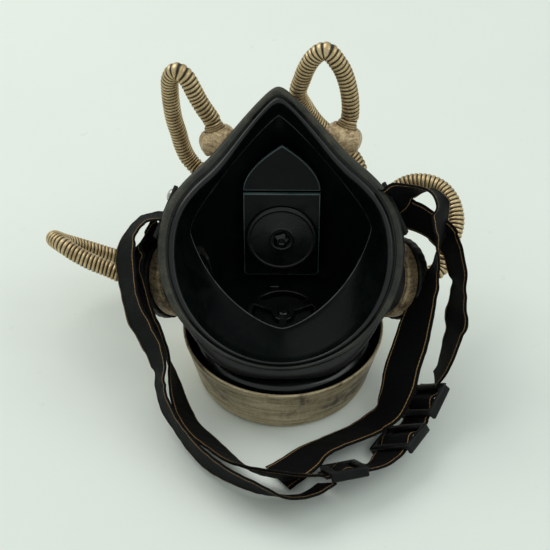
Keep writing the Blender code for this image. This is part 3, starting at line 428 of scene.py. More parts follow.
# painted highlight: a grey copy of the gloss black for the panels' rounded edges, standing in for the light
# they catch
GLOSS_EDGE_HIGHLIGHT = gloss_look("gloss_black_edge_highlight", rough=0.25, specular=0.5, tint=34.0)
GLOSS_INSIDE = gloss_look("gloss_black_inside", rough=0.3, ripple=0.2, specular=0.12)
RUBBER = rubber_look(specular=0.42)
RUBBER_FLANGE = rubber_look("seal_rubber_flange", specular=0.04)
PLASTIC = plastic_look()
PLASTIC_DUSTY = plastic_look("matt_black_dusty", rough=0.42, dusty=0.55)
BUCKLE = plastic_look("gloss_buckle", rough=0.24, specular=0.16)
BRONZE_NUT = bronze_look("bronze_nut", uv_streaks=False, light=(0.62, 0.47, 0.275),
                         middle=(0.34, 0.235, 0.125),
                         dark=(0.05, 0.028, 0.014), patch=0.56)
STEEL = steel_look()
WEBBING = webbing_look()
FELT = felt_look()


# --- Mesh helpers --------------------------------------------------------------------------------

def mirrored(point, side):
    return Vector((side * point[0], point[1], point[2]))


def nose_point(point, side):
    """Mirrored point that follows the roll of the opening near the nose."""
    return mirrored(point, side) + Vector((NOSE_SHIFT, 0.0, NOSE_RISE * side))


def frame_to(axis, up=Z_AXIS):
    z = Vector(axis).normalized()
    x = Vector(up).cross(z)
    x = Vector((1.0, 0.0, 0.0)) if x.length < 1e-6 else x.normalized()
    return Matrix((x, z.cross(x), z)).transposed().to_4x4()


def settle(obj, body="mask", node=None):
    """The piece rides on its body and takes its node's place."""
    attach(obj, body)
    if node:
        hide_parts(*([node] if isinstance(node, str) else node))
    return obj


def build(name, points, faces, looks, picks=None, uvs=None, values=None, angle=40.0):
    """Mesh object from millimetre points; uvs is one pair per corner, values are point attributes."""
    mesh = bpy.data.meshes.new(name)
    mesh.from_pydata([tuple(float(c) * MM for c in point) for point in points], [], faces)
    for look in looks if isinstance(looks, (list, tuple)) else [looks]:
        mesh.materials.append(look)
    if picks is not None:
        mesh.polygons.foreach_set("material_index", picks)
    if uvs is not None:
        layer = mesh.uv_layers.new(name="UVMap")
        layer.data.foreach_set("uv", np.asarray(uvs, np.float32).reshape(-1))
    for key, numbers in (values or {}).items():
        made = mesh.attributes.new(key, "FLOAT", "POINT")
        made.data.foreach_set("value", np.asarray(numbers, np.float32))
    mesh.shade_smooth()
    mesh.set_sharp_from_angle(angle=math.radians(angle))
    obj = bpy.data.objects.new(name, mesh)
    bpy.context.scene.collection.objects.link(obj)
    return obj


def rounded(profile, radius=0.3, steps=3):
    """The closed profile with each corner rounded off."""
    made = []
    count = len(profile)
    for i, corner in enumerate(profile):
        here = Vector(corner)
        before = Vector(profile[i - 1]) - here
        after = Vector(profile[(i + 1) % count]) - here
        if here.x < 1e-6 or before.length < 1e-6 or after.length < 1e-6:
            made.append(tuple(here))
            continue
        cut = min(radius, before.length * 0.45, after.length * 0.45)
        first, last = here + before.normalized() * cut, here + after.normalized() * cut
        for k in range(steps + 1):
            t = k / steps
            made.append(tuple(first * (1 - t)**2 + here * 2 * t * (1 - t) + last * t * t))
    return made


def lathe(name, profile, origin, axis, looks, steps=96, corner=0.3, picks=None, radial=None, angle=40.0):
    """Turned solid. profile: closed loop of (radius, height), outer side downwards."""
    line = rounded(profile, corner) if corner else list(profile)
    rotation = frame_to(axis) if Vector(axis).cross(Z_AXIS).length > 1e-6 else Matrix()
    where = Matrix.Translation(Vector(origin)) @ rotation
    count = len(line)
    lengths = [0.0]
    for i in range(count):
        lengths.append(lengths[-1] + (Vector(line[(i + 1) % count]) - Vector(line[i])).length)
    points, faces, uvs, chosen = [], [], [], []
    for k in range(steps):
        turn = 2 * math.pi * k / steps + math.pi / 2
        for radius, height in line:
            r = radius * (radial(turn, radius, height) if radial else 1.0)
            points.append(where @ Vector((r * math.cos(turn), r * math.sin(turn), height)))
    for k in range(steps):
        after = (k + 1) % steps
        for i in range(count):
            j = (i + 1) % count
            if line[i][0] < 1e-6 and line[j][0] < 1e-6:
                continue
            faces.append((k * count + i, after * count + i, after * count + j, k * count + j))
            around = max(line[i][0], line[j][0]) * 2 * math.pi
            uvs += [(around * k / steps, lengths[i]), (around * (k + 1) / steps, lengths[i]),
                    (around * (k + 1) / steps, lengths[i + 1]), (around * k / steps, lengths[i + 1])]
            chosen.append(picks((line[i][0] + line[j][0]) / 2, (line[i][1] + line[j][1]) / 2) if picks else 0)
    obj = build(name, points, faces, looks, chosen, uvs, angle=angle)
    weld(obj)
    return obj


def weld(obj, distance=0.00001):
    work = bmesh.new()
    work.from_mesh(obj.data)
    bmesh.ops.remove_doubles(work, verts=work.verts, dist=distance)
    bmesh.ops.dissolve_degenerate(work, edges=work.edges, dist=distance / 2)
    bmesh.ops.recalc_face_normals(work, faces=work.faces)
    work.to_mesh(obj.data)
    work.free()


def circle_points(radius, count, centre=(0.0, 0.0), start=0.0, end=2 * math.pi, whole=True):
    steps = count if whole else count - 1
    return [(centre[0] + radius * math.cos(start + (end - start) * i / steps),
             centre[1] + radius * math.sin(start + (end - start) * i / steps)) for i in range(count)]


def plate(name, outlines, thickness, where, look, bevel=0.3, edge=None):
    """Flat piece with holes and rounded edges; where takes its local XY plane to the row frame."""
    curve = bpy.data.curves.new(name, "CURVE")
    curve.dimensions = "2D"
    curve.fill_mode = "BOTH"
    curve.extrude = thickness * MM / 2 - bevel * MM
    curve.bevel_depth = bevel * MM
    curve.bevel_resolution = 2
    curve.offset = -bevel * MM
    for outline in outlines:
        spline = curve.splines.new("POLY")
        spline.points.add(len(outline) - 1)
        for point, (x, y) in zip(spline.points, outline):
            point.co = (x * MM, y * MM, 0.0, 1.0)
        spline.use_cyclic_u = True
    shaper = bpy.data.objects.new(name + "_outline", curve)
    bpy.context.scene.collection.objects.link(shaper)
    graph = bpy.context.evaluated_depsgraph_get()
    mesh = bpy.data.meshes.new_from_object(shaper.evaluated_get(graph))
    bpy.data.objects.remove(shaper, do_unlink=True)
    bpy.data.curves.remove(curve)
    mesh.name = name
    flat = where.copy()
    flat.translation = where.translation * MM
    mesh.transform(flat)
    mesh.materials.clear()
    mesh.materials.append(look)
    # on the valve panels the edge faces take the painted edge highlight
    if edge:
        mesh.materials.append(edge)
        facing = where.to_3x3() @ Z_AXIS
        for polygon in mesh.polygons:
            polygon.material_index = 0 if abs(polygon.normal.dot(facing)) > 0.97 else 1
    obj = bpy.data.objects.new(name, mesh)
    bpy.context.scene.collection.objects.link(obj)
    weld(obj)
    mesh.shade_smooth()
    mesh.set_sharp_from_angle(angle=math.radians(32.0))
    return obj


def joined(name, parts, look):
    """One object of several closed parts."""
    whole = bmesh.new()
    for part in parts:
        whole.from_mesh(part.data)
        bpy.data.objects.remove(part, do_unlink=True)
    mesh = bpy.data.meshes.new(name)
    whole.to_mesh(mesh)
    whole.free()
    mesh.materials.append(look)
    mesh.shade_smooth()
    mesh.set_sharp_from_angle(angle=math.radians(32.0))
    obj = bpy.data.objects.new(name, mesh)
    bpy.context.scene.collection.objects.link(obj)
    return obj


def block(size, where, bevel, segments=3):
    """Rounded box of that size in mm."""
    work = bmesh.new()
    bmesh.ops.create_cube(work, size=1.0)
    bmesh.ops.transform(work, matrix=Matrix.Diagonal((*size, 1.0)), verts=work.verts)
    bmesh.ops.bevel(work, geom=work.edges[:], offset=bevel, segments=segments, profile=0.5, affect="EDGES")
    placed = Matrix.Diagonal((MM, MM, MM, 1.0)) @ where
    bmesh.ops.transform(work, matrix=placed, verts=work.verts)
    mesh = bpy.data.meshes.new("block")
    work.to_mesh(mesh)
    work.free()
    obj = bpy.data.objects.new("block", mesh)
    bpy.context.scene.collection.objects.link(obj)
    return obj


def spline_points(route, per_span, straight=()):
    """Smooth curve through a route; the spans listed in straight stay straight lines."""
    rows = np.array(route, float)
    last = len(rows) - 1
    tangents = np.empty_like(rows)
    for i in range(last + 1):
        tangents[i] = (rows[min(i + 1, last)] - rows[max(i - 1, 0)]) / (2.0 if 0 < i < last else 1.0)
    for i in straight:
        chord = rows[i + 1] - rows[i]
        for end, other in ((i, i - 1), (i + 1, i + 2)):
            length = np.linalg.norm(chord[:3])
            near = np.linalg.norm(rows[end][:3] - rows[min(max(other, 0), last)][:3])
            tangents[end] = chord * min(1.0, (near or length) / length)
    found = []
    for i in range(last):
        chord = rows[i + 1] - rows[i]
        first, second = tangents[i], tangents[i + 1]
        if i in straight:
            first = second = chord
        for step in range(per_span):
            t = step / per_span
            found.append((2 * t**3 - 3 * t**2 + 1) * rows[i] + (t**3 - 2 * t**2 + t) * first
                         + (3 * t**2 - 2 * t**3) * rows[i + 1] + (t**3 - t**2) * second)
    found.append(rows[-1])
    return np.array(found)


def resampled(rows, step):
    """The same polyline with rows every step mm."""
    lengths = np.concatenate([[0.0], np.cumsum(np.linalg.norm(np.diff(rows[:, :3], axis=0), axis=1))])
    count = max(2, int(round(lengths[-1] / step)) + 1)
    at = np.linspace(0.0, lengths[-1], count)
    return np.stack([np.interp(at, lengths, rows[:, k]) for k in range(rows.shape[1])], axis=1), at


# --- Shell and soft rim --------------------------------------------------------------------------

RIM_STATIONS = 220


def rim_angles():
    return [phi - 0.45 * math.sin(phi) for phi in
            (2 * math.pi * i / RIM_STATIONS for i in range(RIM_STATIONS))]


def opening_point(x, v, depth):
    """Point of the tilted plane of the opening, which is rolled a little towards the left."""
    across = x * math.cos(ROLL) - v * math.sin(ROLL) + ROLL_SHIFT
    noseward = v * math.cos(ROLL) + x * math.sin(ROLL)
    return PLANE_ORIGIN + ACROSS * across + NOSEWARD * noseward + INWARD * depth


def rim_point(angle, inset=0.0, deeper=0.0):
    """Point of the teardrop rim; angle 0 is the nose, inset moves it towards the middle."""
    turn = math.atan2(math.sin(angle), math.cos(angle))
    from_nose = math.sqrt(turn * turn + 0.044**2)
    pinch = FLANK_PINCH * math.sin(math.pi * min(abs(turn), FLANK_END) / FLANK_END)**2
    flat = CHIN_FLAT * max(0.0, -math.cos(turn))**2
    radius = 57.3 / math.cos(max(0.0, math.radians(45.0) - from_nose)) - pinch - flat - inset
    depth = -40.0 + 3.0 * math.cos(2 * turn) + deeper
    return opening_point(radius * math.sin(turn), 33.0 + radius * math.cos(turn), depth)


def floor_point(angle, z, inset=0.0):
    s, c = math.sin(angle), math.cos(angle)
    radius = (abs(s / (34.0 - inset))**3.2 + abs(c / (37.5 - inset))**3.2)**(-1 / 3.2)
    return Vector((radius * s, -3.0 + radius * c, z))


def shell_ring(t, offset):
    ring = []
    for angle in rim_angles():
        start = rim_point(angle, inset=3.2 + offset, deeper=1.3)
        end = floor_point(angle, 32.0 + offset, inset=offset)
        bulge = 3.0 + 4.0 * (0.5 + 0.5 * math.cos(angle))
        outward = Vector((math.sin(angle), math.cos(angle), 0.0))
        ring.append(start.lerp(end, t) + outward * bulge * math.sin(math.pi * t)**0.8)
    return ring


def lip_point(angle):
    s, c = abs(math.sin(angle)), math.cos(angle)
    reach = 54.0 if c > 0 else 47.0
    power = 1.14 + 0.36 * (0.5 - 0.5 * math.tanh(2.2 * c))
    radius = ((s / 43.5)**power + abs(c / reach)**power)**(-1 / power)
    depth = -23.2 - 8.5 * max(0.0, c)**0.7 - 4.0 * max(0.0, -c)
    return opening_point(radius * math.sin(angle), 44.0 + radius * c, depth)


def swept_rings(name, rings, looks, picks, values=None):
    """Closed solid from equal rings; the last ring joins the first."""
    count = len(rings[0])
    points = [point for ring in rings for point in ring]
    faces, chosen = [], []
    total = len(rings)
    for k in range(total):
        a, b = k * count, ((k + 1) % total) * count
        for i in range(count):
            j = (i + 1) % count
            faces.append((a + i, a + j, b + j, b + i))
            chosen.append(picks(k))
    obj = build(name, points, faces, looks, chosen, values=values)
    work = bmesh.new()
    work.from_mesh(obj.data)
    bmesh.ops.recalc_face_normals(work, faces=work.faces)
    work.to_mesh(obj.data)
    work.free()
    return obj


def mask_shell():
    steps = [(i / 20)**0.9 for i in range(21)]
    neck = 15.8
    hole_out = [Vector((neck * math.sin(a), neck * math.cos(a), 32.0)) for a in rim_angles()]
    hole_in = [Vector((p.x, p.y, 35.0)) for p in hole_out]
    outer = [shell_ring(t, 0.0) for t in steps]
    inner = [shell_ring(t, 3.0) for t in reversed(steps)]
    rings = outer + [[a.lerp(b, 0.5) for a, b in zip(outer[-1], hole_out)], hole_out, hole_in,
                     [a.lerp(b, 0.5) for a, b in zip(inner[0], hole_in)]] + inner
    # the outside fades to near black towards the chin: from y 20 mm, wholly at y 8 mm and below
    chin_side_dark = [max(0.0, min(1.0, (20.0 - point.y) / 12.0)) for ring in rings for point in ring]
    obj = swept_rings("shell", rings, [BRONZE_SHELL, GLOSS_INSIDE], lambda k: 0 if k < len(outer) + 1 else 1,
                      {"chin_side_dark": chin_side_dark})
    return settle(obj, "mask", "mask_shell")


def curve_through(points, per_span):
    rows = spline_points([tuple(p) for p in points], per_span)
    return [tuple(row) for row in rows]


def face_seal():
    beads = curve_through([(2.2, 1.0), (0.5, 0.2), (0.15, -1.2), (0.9, -2.6), (2.4, -3.15), (3.9, -2.7),
                           (4.7, -2.0),
                           (5.4, -2.5), (6.6, -3.3), (7.9, -3.0), (8.8, -1.5)], 3)
    dust = []
    points, faces, values, edges = [], [], [], []
    for inset, deeper in beads:
        dust.append(max(0.0, min(1.0, (4.7 - inset) / 1.2)) * (1.0 if inset > 0.1 else 0.6))
    for angle in rim_angles():
        chin = max(0.0, -math.cos(angle))**1.5
        ring = [rim_point(angle, inset=inset * (1.0 - 0.5 * chin), deeper=deeper) for inset, deeper in beads]
        start, lip = ring[-1], lip_point(angle)
        back = rim_point(angle, inset=6.6 * (1.0 - 0.4 * chin), deeper=0.9)
        away = (start - lip).normalized()
        for k in range(1, 11):
            t = 1.0 - (1.0 - k / 11)**1.6
            ring.append(start.lerp(lip, t) + INWARD * 0.7 * math.sin(math.pi * t)
                        - INWARD * 0.35 * math.exp(-((t - 1.0) / 0.06)**2))
        bead = lip - INWARD * 0.3
        ring += [bead, lip - away * 0.35 + INWARD * 0.1, lip - away * 0.3 + INWARD * 0.9, lip + INWARD * 1.4]
        for k in range(1, 6):
            t = 1 - k / 6
            ring.append(back.lerp(lip + INWARD * 1.4, t) + INWARD * 0.7 * math.sin(math.pi * t))
        ring.append(back)
        points += ring
        values += [amount * (1.0 - 0.8 * chin) for amount in dust] + [0.0] * (len(ring) - len(dust))
        # the lip attribute marks the lip's edge row, which the rubber look paints grey as a highlight
        edges += [1.0 if k == len(beads) + 10 else 0.0 for k in range(len(ring))]
    count = len(points) // RIM_STATIONS
    chosen = []
    for i in range(RIM_STATIONS):
        following = (i + 1) % RIM_STATIONS
        faces += [(i * count + k, i * count + (k + 1) % count,
                   following * count + (k + 1) % count, following * count + k) for k in range(count)]
        chosen += [1 if k >= len(beads) - 2 else 0 for k in range(count)]
    obj = build("soft_rim", points, faces, [RUBBER, RUBBER_FLANGE], chosen,
                values={"ridge": values, "lip": edges},
                angle=60.0)
    work = bmesh.new()
    work.from_mesh(obj.data)
    bmesh.ops.recalc_face_normals(work, faces=work.faces)
    work.to_mesh(obj.data)
    work.free()
    return settle(obj, "mask", "face_seal")


# --- Valve panel ---------------------------------------------------------------------------------

def panel_frame(origin, up, normal):
    where = Matrix((ACROSS, up, normal)).transposed().to_4x4()
    where.translation = origin
    return where


def valve_panels():
    w, h = PANEL_HALF_WIDTH, PANEL_HEIGHT
    flat = ACROSS.cross(PANEL_UP)
    vents = [circle_points(4.0, 24, (9.5 * math.cos(a), VALVE_HEIGHT + 9.5 * math.sin(a)))
             for a in (math.radians(60 * k) for k in range(6))]
    outline = [(-w, 1.5), (-w + 1.5, 0), (w - 1.5, 0), (w, 1.5), (w, h), (-w, h)]
    lower = plate("panel_lower", [outline] + vents + [circle_points(2.3, 24, (0.0, VALVE_HEIGHT))], 2.4,
                  panel_frame(PANEL_FOOT, PANEL_UP, flat), GLOSS_PANEL, 0.45,
                  GLOSS_EDGE_HIGHLIGHT)
    settle(lower, "mask", "valve_panel_lower")
    right = [(w * (1.0 - t**1.9), 23.0 * t) for t in (math.sin(math.pi / 2 * i / 24) for i in range(25))]
    left = [(-x, y) for x, y in reversed(right[:-1])]
    lean = math.radians(16.0)
    up = Vector((0.0, math.sin(lean), math.cos(lean)))
    upper = plate("panel_upper", [right + left], 2.4,
                  panel_frame(PANEL_TOP + PANEL_UP * 1.4 + Vector((0, 0.4, 0)), up, ACROSS.cross(up)),
                  GLOSS_PANEL, 0.45,
                  GLOSS_EDGE_HIGHLIGHT)
    settle(upper, "mask", "valve_panel_upper")


def inhale_valve():
    seat = PANEL_FOOT + PANEL_UP * VALVE_HEIGHT + PANEL_NORMAL * 1.5
    disc = lathe("valve_disc",
                 [(2.3, 1.0), (5.2, 1.0), (5.8, 1.25), (6.4, 1.0), (15.4, 0.95), (16.2, 1.25), (17.2, 1.2),
                                (18.0, 0.6), (18.0, 0.1), (17.6, 0.0), (2.3, 0.0)], seat, PANEL_NORMAL,
                                RUBBER,
                 corner=0.2)
    settle(disc, "inhale_valve", "inhale_valve_disc")
    lobes = lambda turn, radius, height: 1.0 + 0.09 * math.cos(5 * turn) * (radius > 2.2) * (height > 1.8)
    stud = lathe("valve_stud",
                 [(0, 3.3), (1.2, 3.2), (1.6, 3.6), (2.6, 3.5), (3.9, 2.7), (4.0, 2.25), (2.0, 2.2),
                                (2.0, -4.6), (0, -4.6)], seat, PANEL_NORMAL, GLOSS, steps=60, corner=0.25,
                                radial=lobes)
    settle(stud, "mask", "inhale_valve_stud")


def chin_grille():
    windows = []
    for k in range(3):
        middle = math.radians(90 + 120 * k)
        windows.append(circle_points(15.4, 25, start=middle - 0.88, end=middle + 0.88, whole=False)
                       + circle_points(5.6, 11, start=middle + 0.72, end=middle - 0.72, whole=False))
    where = Matrix.Translation((0.0, 0.0, 36.2))
    flat = plate("grille_plate", [circle_points(18.0, 96)] + windows, 1.6, where, GLOSS, 0.35)
    hub = lathe("grille_hub", [(0, 38.0), (2.2, 38.0), (3.0, 37.4), (3.0, 36.4), (0, 36.4)], (0, 0, 0),
                Z_AXIS, GLOSS,
                steps=32)
    tab = block((5.0, 3.2, 2.4), Matrix.Translation((-4.5, 19.2, 36.6)), 0.5)
    settle(joined("port_grille", [flat, hub, tab], GLOSS), "mask", "chin_port_grille")


# --- Canisters -----------------------------------------------------------------------------------

def chin_canister():
    slope = 6.4 / 30.0
    dent = lambda turn, radius, height: 1.0 + 0.0012 * math.sin(3 * turn + 1.0) + 0.0007 * math.sin(7 * turn)
    cup = lathe("drum_cup", [
        (48.4, 29.4), (48.8, 30.0), (49.6, 30.0), (50.0, 29.5), (49.9, 28.2), (49.45, 27.6),
        (43.4 + slope * 4, 4.0),
        (43.6, 2.2), (42.9, 0.9), (41.6, 0.0), (36.3, 0.0), (36.3, 1.8), (42.2, 1.8)], (0, 0, 0), Z_AXIS,
        [BRONZE, PLASTIC], steps=160, corner=0.35,
        picks=lambda r, z: 1 if (z > 1.9 and r < 41.6 + slope * z + 0.8) else 0, radial=dent)
    settle(cup, "chin_canister", "chin_canister_cup")
    cover = lathe("drum_cover", [
        (16.2, 29.6), (40.5, 29.6), (43.0, 29.0), (44.6, 27.6), (45.0, 25.8), (45.0, 18.0), (43.2, 18.0),
        (43.2, 25.2),
        (42.2, 26.8), (40.0, 27.6), (16.2, 27.6)], (0, 0, 0), Z_AXIS, GLOSS, steps=128, corner=0.8)
    settle(cover, "chin_canister", "chin_canister_cover")
    holes = []
    for k in range(10):
        middle = math.radians(36 * k)
        holes.append(circle_points(30.0, 15, start=middle - 0.2, end=middle + 0.2, whole=False)
                     + circle_points(14.0, 9, start=middle + 0.14, end=middle - 0.14, whole=False))
    face = plate("drum_face", [circle_points(36.0, 120)] + holes, 1.8, Matrix.Translation((0.0, 0.0, 0.9)),
                 BRONZE_PLAIN, 0.3)
    settle(face, "chin_canister", "chin_canister_face")
    neck = lathe("drum_neck", [
        (12.0, 33.4), (15.5, 33.4), (15.5, 31.7), (24.0, 31.7), (24.0, 30.1), (15.5, 30.1), (15.5, 22.0),
        (12.0, 22.0)],
        (0, 0, 0), Z_AXIS, GLOSS, steps=96)
    settle(neck, "mask", "chin_neck")


def side_canister(side, label):
    centre, axis = mirrored(SIDE_CENTRE, side), mirrored(SIDE_AXIS, side)
    body = lathe("side_body_" + label, [
        (16.6, 1.6), (18.6, 1.6), (19.1, 1.2), (19.2, -3.4), (18.6, -4.6), (17.6, -5.0), (17.2, -10.0),
        (11.3, -10.0),
        (11.3, -2.4), (15.6, -2.4), (16.6, -1.0)], centre, axis, [BRONZE_PLAIN, PLASTIC_DUSTY], steps=96,
        picks=lambda r, z: 1 if z < -5.2 else 0)
    settle(body, "mask", "side_canister_body_" + label)
    grip = lambda turn, radius, height: 1.0 + 0.006 * math.cos(30 * turn) * (radius > 19.0)
    cap = lathe("side_cap_" + label, [
        (5.3, 8.6), (8.0, 8.6), (8.6, 8.1), (9.2, 8.1), (9.8, 8.5), (14.6, 8.4), (15.0, 7.9), (15.6, 7.9),
        (16.0, 8.3), (17.2, 8.2), (19.3, 7.4), (20.2, 6.0), (20.2, 2.6), (19.7, 1.9), (5.3, 1.9)], centre,
        axis, PLASTIC_DUSTY,
        steps=180, corner=0.35, radial=grip)
    settle(cap, "side_cap_" + label, "side_canister_cap_" + label)
    collar = lathe("side_tube_" + label, [(11.0, -1.0), (11.0, -14.0), (8.6, -14.0), (8.6, -1.0)], centre,
                   axis, GLOSS,
                   steps=72)
    settle(collar, "mask", "side_collar_" + label)
    fitting = lathe("side_fitting_" + label, [
        (0, 11.6), (5.2, 11.6), (5.9, 11.4), (6.4, 10.8), (6.4, 10.3), (6.0, 10.1), (6.4, 9.9), (6.4, 9.2),
        (5.0, 9.2),
        (5.0, 5.0), (0, 5.0)], centre, axis, BRASS, steps=48, corner=0.2)
    settle(fitting, "side_cap_" + label, "side_hose_fitting_" + label)


# --- Nose fittings, hub, hoses -------------------------------------------------------------------

def hexagon(turn):
    """Radius of a round-cornered hexagon, 1 at its corners."""
    sector = math.pi / 3
    inside = (turn + sector / 2) % sector - sector / 2
    flat = math.cos(sector / 2) / math.cos(sector / 2 - abs(inside))
    return min(flat, 0.99)


def tube(name, route, radius, look, sides=40):
    """Closed round tube with softened ends."""
    rows, _ = resampled(spline_points([tuple(p) for p in route], 10), 0.4)
    last = len(rows) - 1
    ends = {0: 0.9, 1: 0.97, last - 1: 0.97, last: 0.9}
    points, faces = [], []
    for i, row in enumerate(rows):
        tangent = Vector(rows[min(i + 1, last)] - rows[max(i - 1, 0)]).normalized()
        first = tangent.cross(ACROSS).normalized()
        second = tangent.cross(first)
        for k in range(sides):
            turn = 2 * math.pi * k / sides
            reach = radius * ends.get(i, 1.0)
            points.append(Vector(row) + (first * math.cos(turn) + second * math.sin(turn)) * reach)
    for i in range(last):
        for k in range(sides):
            j = (k + 1) % sides
            faces.append((i * sides + k, i * sides + j, (i + 1) * sides + j, (i + 1) * sides + k))
    faces += [tuple(range(sides)), tuple(last * sides + k for k in range(sides))]
    obj = build(name, points, faces, look)
    weld(obj)
    return obj


def nose_fitting(side, label):
    centre, axis = nose_point(NUT_CENTRE, side), mirrored(NUT_AXIS, side)
    def six(turn, radius, height):
        blend = max(0.0, min(1.0, (radius - 6.0) / 1.0))
        return 1.0 + (hexagon(turn) - 1.0) * blend
    nut = lathe("nut_" + label, [
        (5.1, 5.2), (6.0, 5.3), (7.4, 4.7), (9.2, 3.0), (10.2, 1.2), (10.6, -0.4), (10.6, -3.4), (9.9, -4.8),
        (9.0, -5.2), (5.1, -5.2)], centre, axis, BRONZE_NUT, steps=96, corner=0.3, radial=six,
        angle=22.0)
    settle(nut, "nut_" + label, "nose_nut_" + label)
    ferrule = lathe("ferrule_" + label, [
        (0, 7.4), (4.2, 7.4), (4.7, 7.0), (4.8, 6.6), (4.5, 6.3), (4.8, 6.0), (4.8, 5.4), (4.8, -3.6),
        (0, -3.6)],
        centre, axis, BRASS, steps=48, corner=0.2)
    settle(ferrule, "mask", "nose_ferrule_" + label)
    route = [nose_point(point, side) for point in ((28.2, 38.6, 98.8), (28.2, 41.2, 99.1),
                                                   (28.2, 43.4, 100.2))]
    elbow = tube("elbow_" + label, route + [centre - axis * 7.6], 5.6, BRONZE_PLAIN)
    settle(elbow, "mask", "nose_elbow_" + label)


def front_hub():
    hub = lathe("hub_body", [
        (14.0, 4.4), (18.9, 4.4), (20.0, 4.7), (21.2, 4.4), (22.0, 3.2), (22.0, -5.0), (21.0, -6.0),
        (11.2, -6.0),
        (11.2, -4.0), (14.0, -4.0)], HUB_CENTRE, HUB_AXIS, BRONZE, steps=120)
    settle(hub, "mask", "front_hub_body")
    slots = []
    for k in range(6):
        middle = math.radians(60 * k)
        slots.append(circle_points(10.4, 13, start=middle - 0.3, end=middle + 0.3, whole=False)
                     + circle_points(5.6, 7, start=middle + 0.3, end=middle - 0.3, whole=False))
    where = Matrix.Translation(HUB_CENTRE + HUB_AXIS * 3.4) @ frame_to(HUB_AXIS)
    grille = plate("hub_grille", [circle_points(13.6, 96)] + slots, 1.6, where, BRASS, 0.3)
    settle(grille, "mask", "front_hub_grille")
    ring = lathe("hub_ring",
                 [(14.6, 7.0), (15.4, 7.0), (16.2, 6.6), (17.0, 7.0), (17.6, 7.0), (18.5, 6.0), (18.5, 4.7),
                              (14.6, 4.7)], HUB_CENTRE, HUB_AXIS, BRASS, steps=120)
    settle(ring, "mask", "front_hub_ring")


def port_axis(side, degrees):
    up = HUB_AXIS.cross(Vector((-1.0, 0.0, 0.0))).normalized()
    up = up if up.z > 0 else -up
    turn = math.radians(degrees)
    return Vector((side * math.cos(turn), 0.0, 0.0)) + up * math.sin(turn)


def port_socket(name, side, degrees):
    start = HUB_RADIUS + 0.3
    socket = lathe(name.replace("hub_port", "socket"), [
        (0, start + 8), (5.2, start + 8), (5.8, start + 7.7), (6.0, start + 7.0), (6.0, start + 5.2),
        (5.6, start + 4.9),
        (6.0, start + 4.6), (6.0, start + 3.2), (4.6, start + 2.2), (4.6, start), (0, start)], HUB_CENTRE,
        port_axis(side, degrees), BRASS, steps=48, corner=0.25)
    settle(socket, "mask", name)


def corrugated(name, route, node, radius=4.35, pitch=2.05):
    """Gooseneck: one strip wound in a helix, with a dark groove between turns."""
    sides = 20
    rows, at = resampled(spline_points(route, 12, straight=(0, len(route) - 2)), pitch / 8)
    tangents = np.gradient(rows[:, :3], axis=0)
    tangents /= np.linalg.norm(tangents, axis=1)[:, None]
    normal = np.cross(tangents[0], (0.3, 0.2, 0.93))
    normal /= np.linalg.norm(normal)
    turn = np.arange(sides) * 2 * math.pi / sides
    points, crests = [], []
    for row, tangent, along in zip(rows, tangents, at):
        normal = normal - tangent * normal.dot(tangent)
        normal /= np.linalg.norm(normal)
        other = np.cross(tangent, normal)
        phase = (along / pitch - turn / (2 * math.pi)) % 1.0
        crest = 1.0 - np.abs(2 * phase - 1.0)**2.2
        spread = radius - 0.72 * (1.0 - crest)
        ring = np.cos(turn)[:, None] * normal + np.sin(turn)[:, None] * other
        points.append(row[None, :3] + spread[:, None] * ring)
        crests.append(crest)
    total = len(rows)
    points = np.concatenate(points)
    faces, uvs = [], []
    for k in range(total - 1):
        for i in range(sides):
            j = (i + 1) % sides
            faces.append((k * sides + i, k * sides + j, (k + 1) * sides + j, (k + 1) * sides + i))
            uvs += [(i * 1.3, at[k]), ((i + 1) * 1.3, at[k]), ((i + 1) * 1.3, at[k + 1]),
                    (i * 1.3, at[k + 1])]
    for base in (0, (total - 1) * sides):
        faces.append(tuple(base + i for i in range(sides)))
        uvs += [(i * 1.3, 0.0) for i in range(sides)]
    obj = build(name, points, faces, HOSE, uvs=uvs, values={"crest": np.concatenate(crests)}, angle=80.0)
    work = bmesh.new()
    work.from_mesh(obj.data)
    bmesh.ops.recalc_face_normals(work, faces=work.faces)
    work.to_mesh(obj.data)
    work.free()
    return settle(obj, "mask", node)


def hoses():
    for node, (side, port) in {"hose_upper_right": (1, 0), "hose_upper_left": (-1, 0),
                               "hose_lower_right": (1, 1), "hose_lower_left": (-1, 1)}.items():
        port_socket(node.replace("hose", "hub_port"), side, PORT_ANGLES[port])
        axis = port_axis(side, PORT_ANGLES[port])
        end = HUB_CENTRE + axis * (HUB_RADIUS + 0.3 + 8.0 + 0.3)
        centre = nose_point(NUT_CENTRE, side) if port == 0 else mirrored(SIDE_CENTRE, side)
        out = mirrored(NUT_AXIS if port == 0 else SIDE_AXIS, side)
        begin = centre + out * ((FERRULE_TOP if port == 0 else SIDE_FITTING_TO) + 0.2)
        route = [begin, begin + out * 2.5] + [Vector(p) for p in HOSE_ROUTES[node]] + [
            end + axis * 5.0, end + axis * 2.5, end]
        corrugated("gooseneck_" + node[5:], [tuple(p) for p in route], node)


# --- Head harness --------------------------------------------------------------------------------

def lean_frame(tangent, lean):
    along = Vector(tangent).normalized()
    side = Z_AXIS.cross(along).normalized()
    upright = along.cross(side)
    return upright * math.cos(math.radians(lean)) + side * math.sin(math.radians(lean))


def strap_rows(route, straight=(), step=1.0):
    """(centre, width direction, normal) every step mm along the webbing."""
    rows, _ = resampled(spline_points(route, 12, straight), step)
    last = len(rows) - 1
    found = []
    for i, row in enumerate(rows):
        tangent = Vector(rows[min(i + 1, last)][:3] - rows[max(i - 1, 0)][:3]).normalized()
        width = lean_frame(tangent, row[3])
        found.append((Vector(row[:3]), width, tangent.cross(width).normalized()))
    return found


